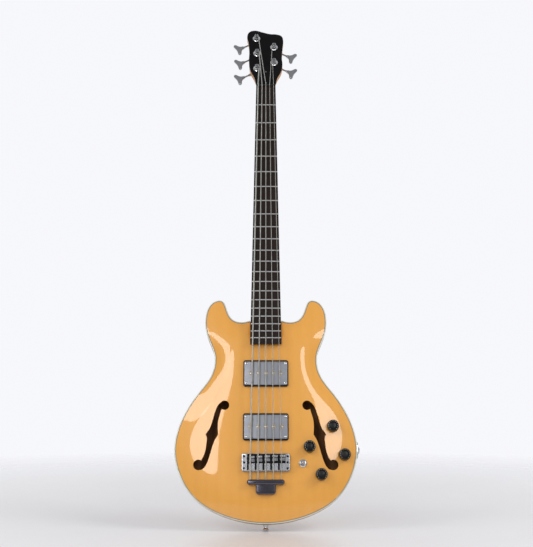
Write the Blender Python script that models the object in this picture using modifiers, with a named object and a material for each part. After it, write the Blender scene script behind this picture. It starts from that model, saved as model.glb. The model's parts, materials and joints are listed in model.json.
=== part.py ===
"""Semi-hollow electric bass guitar with five strings.

The bass is laid out as on a bench: x across, y up the neck from the end of the strap button,
z from the middle of the rim towards the player. One empty then turns it upright, so that the
neck points up and the strings face -Y. All sizes are in metres.
"""

import bpy
import bmesh
import numpy as np
from math import atan2, ceil, cos, degrees, pi, radians, sin, sqrt
from mathutils import Matrix, Vector
from mathutils.bvhtree import BVHTree
from mathutils.geometry import delaunay_2d_cdt, interpolate_bezier

CLEARANCE = 0.0003

# Body outline, seen from the front, with heights measured from the bottom of the body.
# Places named IN are measured inwards from the widest place of the lower bout.
LOWER_BOUT_WIDTH = 0.392
LOWER_BOUT_Y = 0.156
BOTTOM_CORNER_IN = (0.0480, 0.0488)
BOTTOM_CORNER_HEADING = 40.6
SHOULDER_IN = (0.0453, 0.2717)
SHOULDER_HEADING = 126.7
WAIST_WIDTH = 0.224
WAIST_Y = 0.350
UPPER_BOUT_WIDTH = 0.269
UPPER_BOUT_Y = 0.435
HORN_TIP = (0.103, 0.4855)
CUTAWAY = (0.053, 0.4355)
NECK_EDGE_Y = 0.4455

# Body depth
RIM_DEPTH = 0.044
TOP_ARCH = 0.009
BACK_ARCH = 0.008
PLATE_THICKNESS = 0.0045
SIDE_THICKNESS = 0.0032
BINDING_WIDTH = 0.0032
BINDING_HEIGHT = 0.0065
LINING_WIDTH = 0.0055
LINING_HEIGHT = 0.010
FLAT_WIDTH = 0.114
FLAT_FROM_BOTTOM = 0.060
FLAT_FROM_NECK_EDGE = 0.0555
ARCH_FULLNESS = 95.0
BLOCK_WIDTH = 0.112
DEGREES_PER_FACET = 18.0
PLAN_SPACING = 0.032

# F-holes, each two drilled eyes and a sawn stem
F_UPPER_EYE_IN = (0.1070, 0.2490)
F_UPPER_EYE_RADIUS = 0.0098
F_LOWER_EYE_IN = (0.0526, 0.1216)
F_LOWER_EYE_RADIUS = 0.0106

# Neck and strings
SCALE_LENGTH = 0.8636
SADDLE_Y = 0.1388
FRET_COUNT = 21
STRING_COUNT = 5
NUT_WIDTH = 0.0455
NUT_THICKNESS = 0.0039
BOARD_END_WIDTH = 0.0686
BOARD_OVERHANG = 0.014
BOARD_THICKNESS = 0.006
BOARD_TOP = 0.042
BOARD_RADIUS = 0.508
FRET_WIDTH = 0.0026
FRET_HEIGHT = 0.0012
STRING_SPREAD_NUT = 0.036
STRING_SPREAD_BRIDGE = 0.0656
STRING_LEVEL_NUT = 0.0445
STRING_LEVEL_BRIDGE = 0.048
STRING_RADII = (0.00165, 0.0013, 0.00105, 0.0008, 0.0006)
TENON_SETBACK = 0.003
HEEL_BOTTOM = 0.010
HEEL_OVERLAP = 0.009
SHAFT_BOTTOM_LOW = 0.0200
SHAFT_BOTTOM_NUT = 0.0215
TRUSS_ROD_RADIUS = 0.003
TRUSS_ROD_LEVEL = 0.0295

# Headstock, tilted back about the rear of the nut
HEAD_ANGLE = 12.0
HEAD_FACE_LEVEL = 0.037
HEAD_THICKNESS = 0.015
OVERLAY_THICKNESS = 0.0015
HEAD_SLAB_START = 0.013
HEAD_FLARE = 0.060
HEAD_LEFT_EDGE = ((-0.0283, 0.0260), (-0.0370, 0.0460), (-0.0404, 0.0710), (-0.0400, 0.1050),
                  (-0.0425, 0.1340), (-0.0454, 0.1490), (-0.0400, 0.1650))
HEAD_TOP_EDGE = ((-0.0270, 0.1696), (-0.0080, 0.1642), (0.0100, 0.1588), (0.0270, 0.1573))
HEAD_RIGHT_EDGE = ((0.0380, 0.152), (0.0417, 0.141), (0.0400, 0.112), (0.0384, 0.085),
                   (0.0395, 0.060), (0.0360, 0.042), (0.0280, 0.0245))
COVER_WIDTH = 0.015
COVER_LENGTH = 0.040
COVER_THICKNESS = 0.0016
COVER_START = 0.004

# Tuning machines: posts from the lowest string to the highest
POST_PLACES = ((-0.0209, 0.0508), (-0.0211, 0.0972), (-0.0228, 0.1432), (0.0196, 0.1159), (0.0195, 0.0688))
POST_HEIGHT = 0.0125
POST_RADIUS = 0.0036
POST_WAIST_RADIUS = 0.0030
POST_CAP_RADIUS = 0.0050
BUSHING_RADIUS = 0.0062
WASHER_RADIUS = 0.0090
WASHER_HEIGHT = 0.0018
CASE_RADIUS = 0.0105
CASE_HEIGHT = 0.0110
BASE_PLATE_WIDTH = 0.0200
BASE_PLATE_LENGTH = 0.0340
BASE_PLATE_THICKNESS = 0.0018
WORM_OFFSET = 0.0070
WORM_DEPTH = 0.0062
KEY_SLOPE = 28.0
KEY_REACH = 0.0415
KEY_SHAFT_RADIUS = 0.0020
SHAFT_BORE_DEPTH = 0.0050
KEY_THICKNESS = 0.0065
KEY_COLLAR_LENGTH = 0.0060
KEY_COLLAR_START = 0.0125
BEARING_RADIUS = 0.0038
BEARING_REACH = 0.0190
STRING_TURNS = 1.6
WRAP_LEVEL = 0.0092

# Pickups
PICKUP_WIDTH = 0.0945
PICKUP_LENGTH = 0.052
PICKUP_CORNER = 0.0035
PICKUP_HEIGHT = 0.020
PICKUP_ABOVE_TOP = 0.006
PICKUP_TRAVEL = 0.002
RING_WIDTH = 0.0976
RING_LENGTH = 0.058
RING_HEIGHT = 0.0032
RING_CLEARANCE = 0.0005
CAVITY_CLEARANCE = 0.0008
NECK_PICKUP_Y = 0.318
BRIDGE_PICKUP_Y = 0.202
WIRE_HOLE_RADIUS = 0.003

# Bridge
BRIDGE_WIDTH = 0.103
BRIDGE_LENGTH = 0.0377
BRIDGE_HEIGHT = 0.0068
BRIDGE_CORNER = 0.0040
BRIDGE_SETBACK = 0.0124
BRIDGE_WALL = 0.0013
TRAY_LENGTH = 0.0196
TRAY_FLOOR = 0.0016
SLOT_WIDTH = 0.0046
SLOT_LENGTH = 0.0145
SADDLE_WIDTH = 0.0112
SADDLE_SHIFT = 0.0031
SADDLE_REAR = 0.0095
SADDLE_FRONT = 0.0022
SADDLE_BACKWARD = 0.0025
SADDLE_STEPS = (-0.0020, -0.0012, -0.0006, 0.0, 0.0008)
BRIDGE_HOLE_RADIUS = 0.0018

# Tailpiece
TAIL_BAR_WIDTH = 0.0790
TAIL_BAR_LENGTH = 0.0110
TAIL_BAR_HEIGHT = 0.0125
TAIL_BAR_Y = 0.0850
TAIL_TONGUE_WIDTH = 0.0420
TAIL_TONGUE_LENGTH = 0.0290
TAIL_TONGUE_HEIGHT = 0.0095
TAIL_STRING_LEVEL = 0.0400
TAIL_HOLE_DEPTH = 0.0080

# Controls
KNOB_PLACES_IN = ((0.0522, 0.2038), (0.1028, 0.1599), (0.0279, 0.1435), (0.0781, 0.1018))
KNOB_RADIUS = 0.0130
KNOB_TOP_RADIUS = 0.0121
KNOB_HEIGHT = 0.0145
KNOB_LIFT = 0.0022
KNOB_RECESS_RADIUS = 0.0075
KNOB_RECESS_HEIGHT = 0.0060
POT_RADIUS = 0.0115
POT_HEIGHT = 0.0080
POT_SHAFT_RADIUS = 0.0030
POT_BUSHING_RADIUS = 0.0046
POT_NUT_RADIUS = 0.0064
POT_NUT_HEIGHT = 0.0018
SWITCH_FROM_BLOCK = 0.0229
SWITCH_Y = 0.1251
SWITCH_BUSHING_RADIUS = 0.0060
SWITCH_WASHER_RADIUS = 0.0085
SWITCH_BUSHING_HEIGHT = 0.0045
SWITCH_BODY_WIDTH = 0.0180
SWITCH_BODY_LENGTH = 0.0220
SWITCH_BODY_HEIGHT = 0.0130
LEVER_LENGTH = 0.0180
LEVER_RADIUS = 0.0014
LEVER_TIP_RADIUS = 0.0029
LEVER_BALL_RADIUS = 0.0026

# Output jack at the widest place of the treble side
JACK_BORE_RADIUS = 0.0033
JACK_SLEEVE_RADIUS = 0.0047
JACK_BODY_RADIUS = 0.0062
JACK_NUT_RADIUS = 0.0080
JACK_LENGTH = 0.0240
JACK_BORE_DEPTH = 0.0220
JACK_NUT_HEIGHT = 0.0030
JACK_SHOULDER_GAP = 0.0012
JACK_PLATE_LENGTH = 0.036
JACK_PLATE_DEPTH = 0.026
JACK_PLATE_THICKNESS = 0.0016

# Strap buttons
BUTTON_RADIUS = 0.0068
BUTTON_WAIST_RADIUS = 0.0042
BUTTON_FOOT_RADIUS = 0.0062
BUTTON_LENGTH = 0.0115
BUTTON_SCREW_RADIUS = 0.0020
BUTTON_SCREW_LENGTH = 0.0250
HEEL_BUTTON_Y = 0.375

# Levels and places that follow from the sizes
RIM = RIM_DEPTH / 2
BODY_BOTTOM = BUTTON_LENGTH + CLEARANCE
TOP_LEVEL = RIM + TOP_ARCH
BACK_LEVEL = -RIM - BACK_ARCH
PLATE_INSET = BINDING_WIDTH + CLEARANCE
LINING_INSET = max(SIDE_THICKNESS, BINDING_WIDTH) + CLEARANCE
SADDLE_LINE = BODY_BOTTOM + SADDLE_Y
NUT_Y = SADDLE_LINE + SCALE_LENGTH
NECK_TOP = BOARD_TOP - BOARD_THICKNESS - CLEARANCE
HEAD_WOOD_TOP = -OVERLAY_THICKNESS - CLEARANCE


def from_lower_bout(place):
    """A place on the treble side, given by its distance in from the lower bout's widest place."""
    return (LOWER_BOUT_WIDTH / 2 - place[0], place[1])


BOTTOM_CORNER = from_lower_bout(BOTTOM_CORNER_IN)
SHOULDER = from_lower_bout(SHOULDER_IN)
F_UPPER_EYE = from_lower_bout(F_UPPER_EYE_IN)
F_LOWER_EYE = from_lower_bout(F_LOWER_EYE_IN)
KNOB_PLACES = [from_lower_bout(place) for place in KNOB_PLACES_IN]
SWITCH_PLACE = (BLOCK_WIDTH / 2 + SWITCH_FROM_BLOCK, SWITCH_Y)

COLOURS = {
    "gold_top": ((0.74, 0.38, 0.10), 0.18, 0.0),
    "maple": ((0.60, 0.36, 0.16), 0.35, 0.0),
    "inner_wood": ((0.52, 0.34, 0.18), 0.70, 0.0),
    "cream": ((0.66, 0.67, 0.54), 0.30, 0.0),
    "dark_board": ((0.030, 0.022, 0.020), 0.45, 0.0),
    "black_gloss": ((0.008, 0.008, 0.008), 0.15, 0.0),
    "black_plastic": ((0.012, 0.012, 0.013), 0.35, 0.0),
    "brushed_cover": ((0.26, 0.28, 0.31), 0.30, 1.0),
    "satin_chrome": ((0.42, 0.44, 0.47), 0.28, 1.0),
    "chrome": ((0.70, 0.71, 0.73), 0.10, 1.0),
    "dark_chrome": ((0.20, 0.20, 0.23), 0.22, 1.0),
    "string_steel": ((0.50, 0.48, 0.45), 0.35, 1.0),
    "bone": ((0.05, 0.05, 0.05), 0.40, 0.0),
}


def empty_scene():
    """Removes what the file holds."""
    for item in list(bpy.data.objects):
        bpy.data.objects.remove(item, do_unlink=True)


empty_scene()
parts = bpy.data.collections.new("electric_bass_guitar")
cutters = bpy.data.collections.new("cutters")
bpy.context.scene.collection.children.link(parts)
bpy.context.scene.collection.children.link(cutters)


def frame_empty(name, parent, location, rotation):
    """An empty that carries the pieces laid out in its own plane."""
    empty = bpy.data.objects.new(name, None)
    parts.objects.link(empty)
    empty.parent = parent
    empty.location = location
    empty.rotation_euler = rotation
    return empty


bench = frame_empty("upright", None, (0.0, 0.0, 0.0), (pi / 2, 0.0, 0.0))
head_plane = frame_empty("head_plane", bench, (0.0, NUT_Y + NUT_THICKNESS, HEAD_FACE_LEVEL),
                         (-radians(HEAD_ANGLE), 0.0, 0.0))


def material(kind):
    """The Principled material of one finish, made once."""
    found = bpy.data.materials.get(kind)
    if found:
        return found
    colour, roughness, metallic = COLOURS[kind]
    made = bpy.data.materials.new(kind)
    made.use_nodes = True
    shader = made.node_tree.nodes["Principled BSDF"]
    shader.inputs["Base Color"].default_value = (*colour, 1.0)
    shader.inputs["Roughness"].default_value = roughness
    shader.inputs["Metallic"].default_value = metallic
    return made


def add_object(name, data, kind, parent=bench, location=(0.0, 0.0, 0.0), rotation=(0.0, 0.0, 0.0)):
    """Links a mesh or curve as a part, or as a cutter when it has no finish."""
    item = bpy.data.objects.new(name, data)
    item.parent = parent
    item.location = location
    item.rotation_euler = rotation
    if kind is None:
        cutters.objects.link(item)
        item.hide_render = True
        item.display_type = "WIRE"
    else:
        parts.objects.link(item)
        if not data.materials:
            data.materials.append(material(kind))
    return item


def mesh_of(name, bm):
    """Turns a bmesh into a mesh with outward faces."""
    bmesh.ops.recalc_face_normals(bm, faces=bm.faces)
    mesh = bpy.data.meshes.new(name)
    bm.to_mesh(mesh)
    bm.free()
    return mesh


def rounded(item, angle=35.0):
    """Shades a round piece smooth, with its edges kept."""
    item.data.shade_smooth()
    item.data.set_sharp_from_angle(angle=radians(angle))
    return item


def as_mesh(curve, kind):
    """Replaces a curve object by the welded mesh that it draws."""
    bpy.context.view_layer.update()
    graph = bpy.context.evaluated_depsgraph_get()
    mesh = bpy.data.meshes.new_from_object(curve.evaluated_get(graph))
    bm = bmesh.new()
    bm.from_mesh(mesh)
    bmesh.ops.remove_doubles(bm, verts=bm.verts, dist=1e-6)
    bmesh.ops.recalc_face_normals(bm, faces=bm.faces)
    bm.to_mesh(mesh)
    bm.free()
    mesh.materials.clear()
    name, parent, place, turn = curve.name, curve.parent, curve.location.copy(), curve.rotation_euler.copy()
    old = curve.data
    bpy.data.objects.remove(curve)
    bpy.data.curves.remove(old)
    return add_object(name, mesh, kind, parent, place, turn)


def boolean(item, operation, *tools):
    """Cuts or joins solids, one modifier for each."""
    for tool in tools:
        step = item.modifiers.new(f"{operation.lower()} {tool.name}", "BOOLEAN")
        step.operation = operation
        step.object = tool
    return item


def merge_flats(item):
    """Joins the triangles that lie in one plane."""
    step = item.modifiers.new("merge flats", "DECIMATE")
    step.decimate_type = "DISSOLVE"
    step.angle_limit = radians(0.3)
    return item


def bevel(item, width, segments=2, angle=40.0):
    """Rounds the edges sharper than an angle."""
    step = item.modifiers.new("round edges", "BEVEL")
    step.width = width
    step.segments = segments
    step.limit_method = "ANGLE"
    step.angle_limit = radians(angle)
    return item


def box(name, kind, low, high, parent=bench):
    """A box between two corners of its parent's frame."""
    low, high = Vector(low), Vector(high)
    bm = bmesh.new()
    bmesh.ops.create_cube(bm, size=1.0, matrix=Matrix.Diagonal((*(high - low), 1.0)))
    return add_object(name, mesh_of(name, bm), kind, parent, (low + high) / 2)


def rod(name, kind, radius, length, location, rotation=(0.0, 0.0, 0.0), parent=bench, sides=12):
    """A cylinder along its own z, from its location onwards, with its first edge at +x."""
    bm = bmesh.new()
    place = Matrix.Translation((0.0, 0.0, length / 2)) @ Matrix.Rotation(pi / 2, 4, "Z")
    bmesh.ops.create_cone(bm, cap_ends=True, segments=sides, radius1=radius, radius2=radius, depth=length,
                          matrix=place)
    return rounded(add_object(name, mesh_of(name, bm), kind, parent, location, rotation))


def turned(name, kind, profile, location, rotation=(0.0, 0.0, 0.0), parent=bench, sides=12):
    """A turned piece: its profile, (radius, height) down the outer side, spun round its own z."""
    mesh = bpy.data.meshes.new(name)
    points = [(radius, 0.0, height) for radius, height in profile]
    mesh.from_pydata(points, [(i, i + 1) for i in range(len(points) - 1)], [])
    item = add_object(name, mesh, kind, parent, location, rotation)
    spin = item.modifiers.new("turn", "SCREW")
    spin.steps = sides
    spin.render_steps = sides
    spin.use_merge_vertices = True
    spin.merge_threshold = 0.00001
    spin.use_smooth_shade = False
    return item


def flat_curve(name, kind, loops, low, high, parent=bench, resolution=3, location=(0.0, 0.0)):
    """A flat outline filled and extruded between two levels.

    Each loop is a list of (x, y, corner): smooth points, and corners where the handles are straight.
    """
    curve = bpy.data.curves.new(name, "CURVE")
    curve.dimensions = "2D"
    curve.fill_mode = "BOTH"
    curve.extrude = (high - low) / 2
    curve.resolution_u = resolution
    for loop in loops:
        spline = curve.splines.new("BEZIER")
        spline.bezier_points.add(len(loop) - 1)
        for point, (x, y, corner) in zip(spline.bezier_points, loop):
            point.co = (x, y, 0.0)
            point.handle_left_type = "VECTOR" if corner else "AUTO"
            point.handle_right_type = "VECTOR" if corner else "AUTO"
        spline.use_cyclic_u = True
    place = (location[0], location[1], (low + high) / 2)
    return add_object(name, curve, kind, parent, place)


def rounded_rectangle(width, length, radius, steps=2):
    """The corner points of a rectangle with round corners, as straight-handled points."""
    points = []
    for turn, (sx, sy) in enumerate(((1, 1), (-1, 1), (-1, -1), (1, -1))):
        centre = Vector((sx * (width / 2 - radius), sy * (length / 2 - radius)))
        for step in range(steps + 1):
            angle = (turn + step / steps) * pi / 2
            points.append((centre.x + radius * cos(angle), centre.y + radius * sin(angle), True))
    return points


def plate(name, kind, width, length, radius, low, high, centre=(0.0, 0.0), parent=bench, hole=None):
    """A rounded rectangular plate, with an optional rounded hole of its own (width, length, radius)."""
    loops = [rounded_rectangle(width, length, radius)]
    if hole:
        loops.append(rounded_rectangle(*hole))
    return as_mesh(flat_curve(name, kind, loops, low, high, parent, 1, centre), kind)


def loft(name, kind, sections, parent=bench, location=(0.0, 0.0, 0.0)):
    """A closed skin over sections that have the same number of points."""
    bm = bmesh.new()
    rings = [[bm.verts.new(point) for point in section] for section in sections]
    for lower, upper in zip(rings, rings[1:]):
        for i in range(len(lower)):
            j = (i + 1) % len(lower)
            bm.faces.new((lower[i], lower[j], upper[j], upper[i]))
    bm.faces.new(rings[0])
    bm.faces.new(rings[-1])
    return add_object(name, mesh_of(name, bm), kind, parent, location)


# Body outline


def bezier_span(start, end):
    """Points from one station to the next, without the last; a station is (x, y, heading, reach in, out)."""
    place, target = Vector(start[:2]), Vector(end[:2])
    out = Vector((cos(radians(start[2])), sin(radians(start[2])))) * start[4]
    back = Vector((cos(radians(end[2])), sin(radians(end[2])))) * end[3]
    handles = [point.to_3d() for point in (place, place + out, target - back, target)]
    fine = interpolate_bezier(*handles, 25)
    runs = [b - a for a, b in zip(fine, fine[1:])]
    turning = sum(degrees(a.angle(b)) for a, b in zip(runs, runs[1:]))
    steps = max(3, ceil(turning / DEGREES_PER_FACET))
    return [point.to_2d() for point in interpolate_bezier(*handles, steps + 1)[:-1]]


def body_outline():
    """The closed outline of the body, counterclockwise from the middle of its bottom."""
    stations = [
        (0.0, 0.0, 0.0, 0.049, 0.049),
        (*BOTTOM_CORNER, BOTTOM_CORNER_HEADING, 0.050, 0.0356),
        (LOWER_BOUT_WIDTH / 2, LOWER_BOUT_Y, 90.0, 0.038, 0.044),
        (*SHOULDER, SHOULDER_HEADING, 0.036, 0.030),
        (WAIST_WIDTH / 2, WAIST_Y, 90.0, 0.036, 0.028),
        (UPPER_BOUT_WIDTH / 2, UPPER_BOUT_Y, 90.0, 0.036, 0.039),
        (*HORN_TIP, 180.0, 0.013, 0.0225),
        (*CUTAWAY, 180.0, 0.042, 0.014),
        (0.0, NECK_EDGE_Y, 180.0, 0.024, 0.024),
    ]
    half = []
    for start, end in zip(stations, stations[1:]):
        half += bezier_span(start, end)
    other = [Vector((-point.x, point.y)) for point in reversed(half[1:])]
    top = [Vector((0.0, NECK_EDGE_Y))]
    return [point + Vector((0.0, BODY_BOTTOM)) for point in half + top + other]


def inset(outline, distance):
    """The outline moved inwards, edge by edge."""
    moved = []
    count = len(outline)
    for i, point in enumerate(outline):
        before = (point - outline[i - 1]).normalized()
        after = (outline[(i + 1) % count] - point).normalized()
        inward = (Vector((-before.y, before.x)) + Vector((-after.y, after.x))).normalized()
        stretch = inward.dot(Vector((-after.y, after.x)))
        moved.append(point + inward * distance / stretch)
    return moved


OUTLINE = body_outline()


def strip(name, kind, distance, width, low, high):
    """A band of wood or plastic bent along the outline: an open wall, thickened inwards."""
    loop = inset(OUTLINE, distance)
    count = len(loop)
    mesh = bpy.data.meshes.new(name)
    points = [(point.x, point.y, level) for level in (low, high) for point in loop]
    outward_faces = [(i, (i + 1) % count, count + (i + 1) % count, count + i) for i in range(count)]
    mesh.from_pydata(points, [], outward_faces)
    item = add_object(name, mesh, kind)
    wall = item.modifiers.new("thickness", "SOLIDIFY")
    wall.thickness = width
    wall.offset = -1.0
    wall.use_even_offset = True
    return rounded(item, 30.0)


# Arched plates


def depth_inside(point, outline):
    """Distance from a point to the outline, negative outside it."""
    inside = False
    nearest = 1.0
    for i, b in enumerate(outline):
        a = outline[i - 1]
        along = b - a
        share = min(1.0, max(0.0, (point - a).dot(along) / along.length_squared))
        nearest = min(nearest, (point - a - along * share).length)
        if (a.y > point.y) != (b.y > point.y):
            if point.x < a.x + (point.y - a.y) * along.x / along.y:
                inside = not inside
    return nearest if inside else -nearest


def flat_middle(spacing):
    """The rectangle over the block where the plates are flat, with points along its edges."""
    half = FLAT_WIDTH / 2
    low, high = BODY_BOTTOM + FLAT_FROM_BOTTOM, BODY_BOTTOM + NECK_EDGE_Y - FLAT_FROM_NECK_EDGE
    corners = [Vector(place) for place in ((-half, low), (half, low), (half, high), (-half, high))]
    loop = []
    for start, end in zip(corners, corners[1:] + corners[:1]):
        steps = ceil((end - start).length / spacing)
        loop += [start.lerp(end, step / steps) for step in range(steps)]
    return loop


def closed_edges(first, count):
    """The edges of a closed loop of points."""
    return [(first + i, first + (i + 1) % count) for i in range(count)]


def plate_plan(outline, spacing):
    """Triangles that fill the outline, with one flat rectangle in the middle."""
    right = max(point.x for point in outline)
    bottom = min(point.y for point in outline)
    top = max(point.y for point in outline)
    middle = flat_middle(spacing)
    points = [Vector(point) for point in outline] + middle
    row_height = spacing * sqrt(3) / 2
    columns = ceil(right / spacing)
    filling = inset(outline, spacing * 0.42)[::2]
    near_rim = len(filling)
    for row in range(ceil((top - bottom) / row_height)):
        for column in range(-columns, columns + 1):
            filling.append(Vector(((column + 0.5 * (row % 2)) * spacing, bottom + row * row_height)))
    for i, place in enumerate(filling):
        least = spacing * (0.3 if i < near_rim else 0.85)
        if depth_inside(place, outline) > least and depth_inside(place, middle) < -spacing * 0.5:
            points.append(place)
    edges = closed_edges(0, len(outline)) + closed_edges(len(outline), len(middle))
    filled = delaunay_2d_cdt(points, edges, [], 1, 1e-7)
    return filled[0], filled[2]


def membrane(points, faces, fixed, load):
    """Heights of a skin held at the fixed points and blown up by an even load."""
    count = len(points)
    stiffness = np.zeros((count, count))
    force = np.zeros(count)
    for face in faces:
        area = abs((points[face[1]] - points[face[0]]).cross(points[face[2]] - points[face[0]])) / 2
        for k in range(3):
            here, i, j = face[k], face[k - 1], face[k - 2]
            u, v = points[i] - points[here], points[j] - points[here]
            weight = u.dot(v) / (4 * area)
            stiffness[i, i] += weight
            stiffness[j, j] += weight
            stiffness[i, j] -= weight
            stiffness[j, i] -= weight
            force[here] += load * area / 3
    for place, height in fixed.items():
        stiffness[place] = 0.0
        stiffness[place, place] = 1.0
        force[place] = height
    return np.linalg.solve(stiffness, force)


def rim_points(faces):
    """Points on edges that only one triangle has."""
    seen = {}
    for face in faces:
        for k in range(3):
            edge = tuple(sorted((face[k - 1], face[k])))
            seen[edge] = seen.get(edge, 0) + 1
    return {point for edge, times in seen.items() if times == 1 for point in edge}


PLAN_POINTS, PLAN_FACES = plate_plan(inset(OUTLINE, PLATE_INSET), PLAN_SPACING)


def arch_share():
    """How far each plan point has risen from the rim, 0, to the flat middle, 1."""
    fixed = {point: 0.0 for point in rim_points(PLAN_FACES)}
    middle = flat_middle(PLAN_SPACING)
    for i, point in enumerate(PLAN_POINTS):
        if depth_inside(point, middle) > -CLEARANCE:
            fixed[i] = 1.0
    risen = membrane(PLAN_POINTS, PLAN_FACES, fixed, ARCH_FULLNESS)
    risen = np.minimum(risen, 1.0)
    return 1 - (1 - risen) ** 2


ARCH = arch_share()
TOP_HEIGHTS = RIM + TOP_ARCH * ARCH
BACK_HEIGHTS = -RIM - BACK_ARCH * ARCH


def domed_solid(name, kind, upper, lower):
    """The solid over the body's plan between two sets of heights."""
    bm = bmesh.new()
    verts = [bm.verts.new((p.x, p.y, h)) for p, h in zip(PLAN_POINTS, upper)]
    faces = [bm.faces.new([verts[i] for i in face]) for face in PLAN_FACES]
    made = bmesh.ops.extrude_face_region(bm, geom=faces, use_keep_orig=True)["geom"]
    moved = [v for v in made if isinstance(v, bmesh.types.BMVert)]
    bm.verts.ensure_lookup_table()
    by_place = {(round(p.x, 7), round(p.y, 7)): h for p, h in zip(PLAN_POINTS, lower)}
    for vert in moved:
        vert.co.z = by_place[(round(vert.co.x, 7), round(vert.co.y, 7))]
    return rounded(add_object(name, mesh_of(name, bm), kind), 30.0)


def surface_tree(heights):
    """A tree to look up the level of a plate's outer face."""
    corners = [Vector((p.x, p.y, h)) for p, h in zip(PLAN_POINTS, heights)]
    return BVHTree.FromPolygons(corners, [list(face) for face in PLAN_FACES])


TOP_TREE = surface_tree(TOP_HEIGHTS)


def top_level_at(x, y):
    """Level of the top's outer face above a place on the plan."""
    return TOP_TREE.ray_cast(Vector((x, y, 1.0)), Vector((0.0, 0.0, -1.0)))[0].z


# Neck geometry


def board_half_width(y):
    """Half the fretboard's width at a place along it."""
    share = (NUT_Y - y) / (NUT_Y - BOARD_END_Y)
    return (NUT_WIDTH + (BOARD_END_WIDTH - NUT_WIDTH) * share) / 2


def radius_drop(x):
    """How far the round fretboard has fallen away at x."""
    return BOARD_RADIUS - sqrt(BOARD_RADIUS ** 2 - x ** 2)


def fret_y(number):
    """Place of a fret along the neck."""
    return NUT_Y - SCALE_LENGTH * (1 - 2 ** (-number / 12))


BOARD_END_Y = fret_y(FRET_COUNT) - BOARD_OVERHANG
TENON_START_Y = BOARD_END_Y + TENON_SETBACK
HEEL_Y = BODY_BOTTOM + NECK_EDGE_Y + HEEL_OVERLAP


def string_x(number, spread):
    """Place of a string across the bass; string 0 is the thickest, on the left."""
    return spread * (number / (STRING_COUNT - 1) - 0.5)


def saddle_y(number):
    """Where a string leaves its saddle."""
    return SADDLE_LINE + SADDLE_STEPS[number]


def string_point(number, y):
    """The middle of a string between the nut and its saddle."""
    share = (NUT_Y - y) / SCALE_LENGTH
    x_nut = string_x(number, STRING_SPREAD_NUT)
    x_bridge = string_x(number, STRING_SPREAD_BRIDGE)
    z_nut = STRING_LEVEL_NUT - radius_drop(x_nut)
    z_bridge = STRING_LEVEL_BRIDGE - radius_drop(x_bridge)
    return Vector((x_nut + (x_bridge - x_nut) * share, y, z_nut + (z_bridge - z_nut) * share))


# Body pieces


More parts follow.
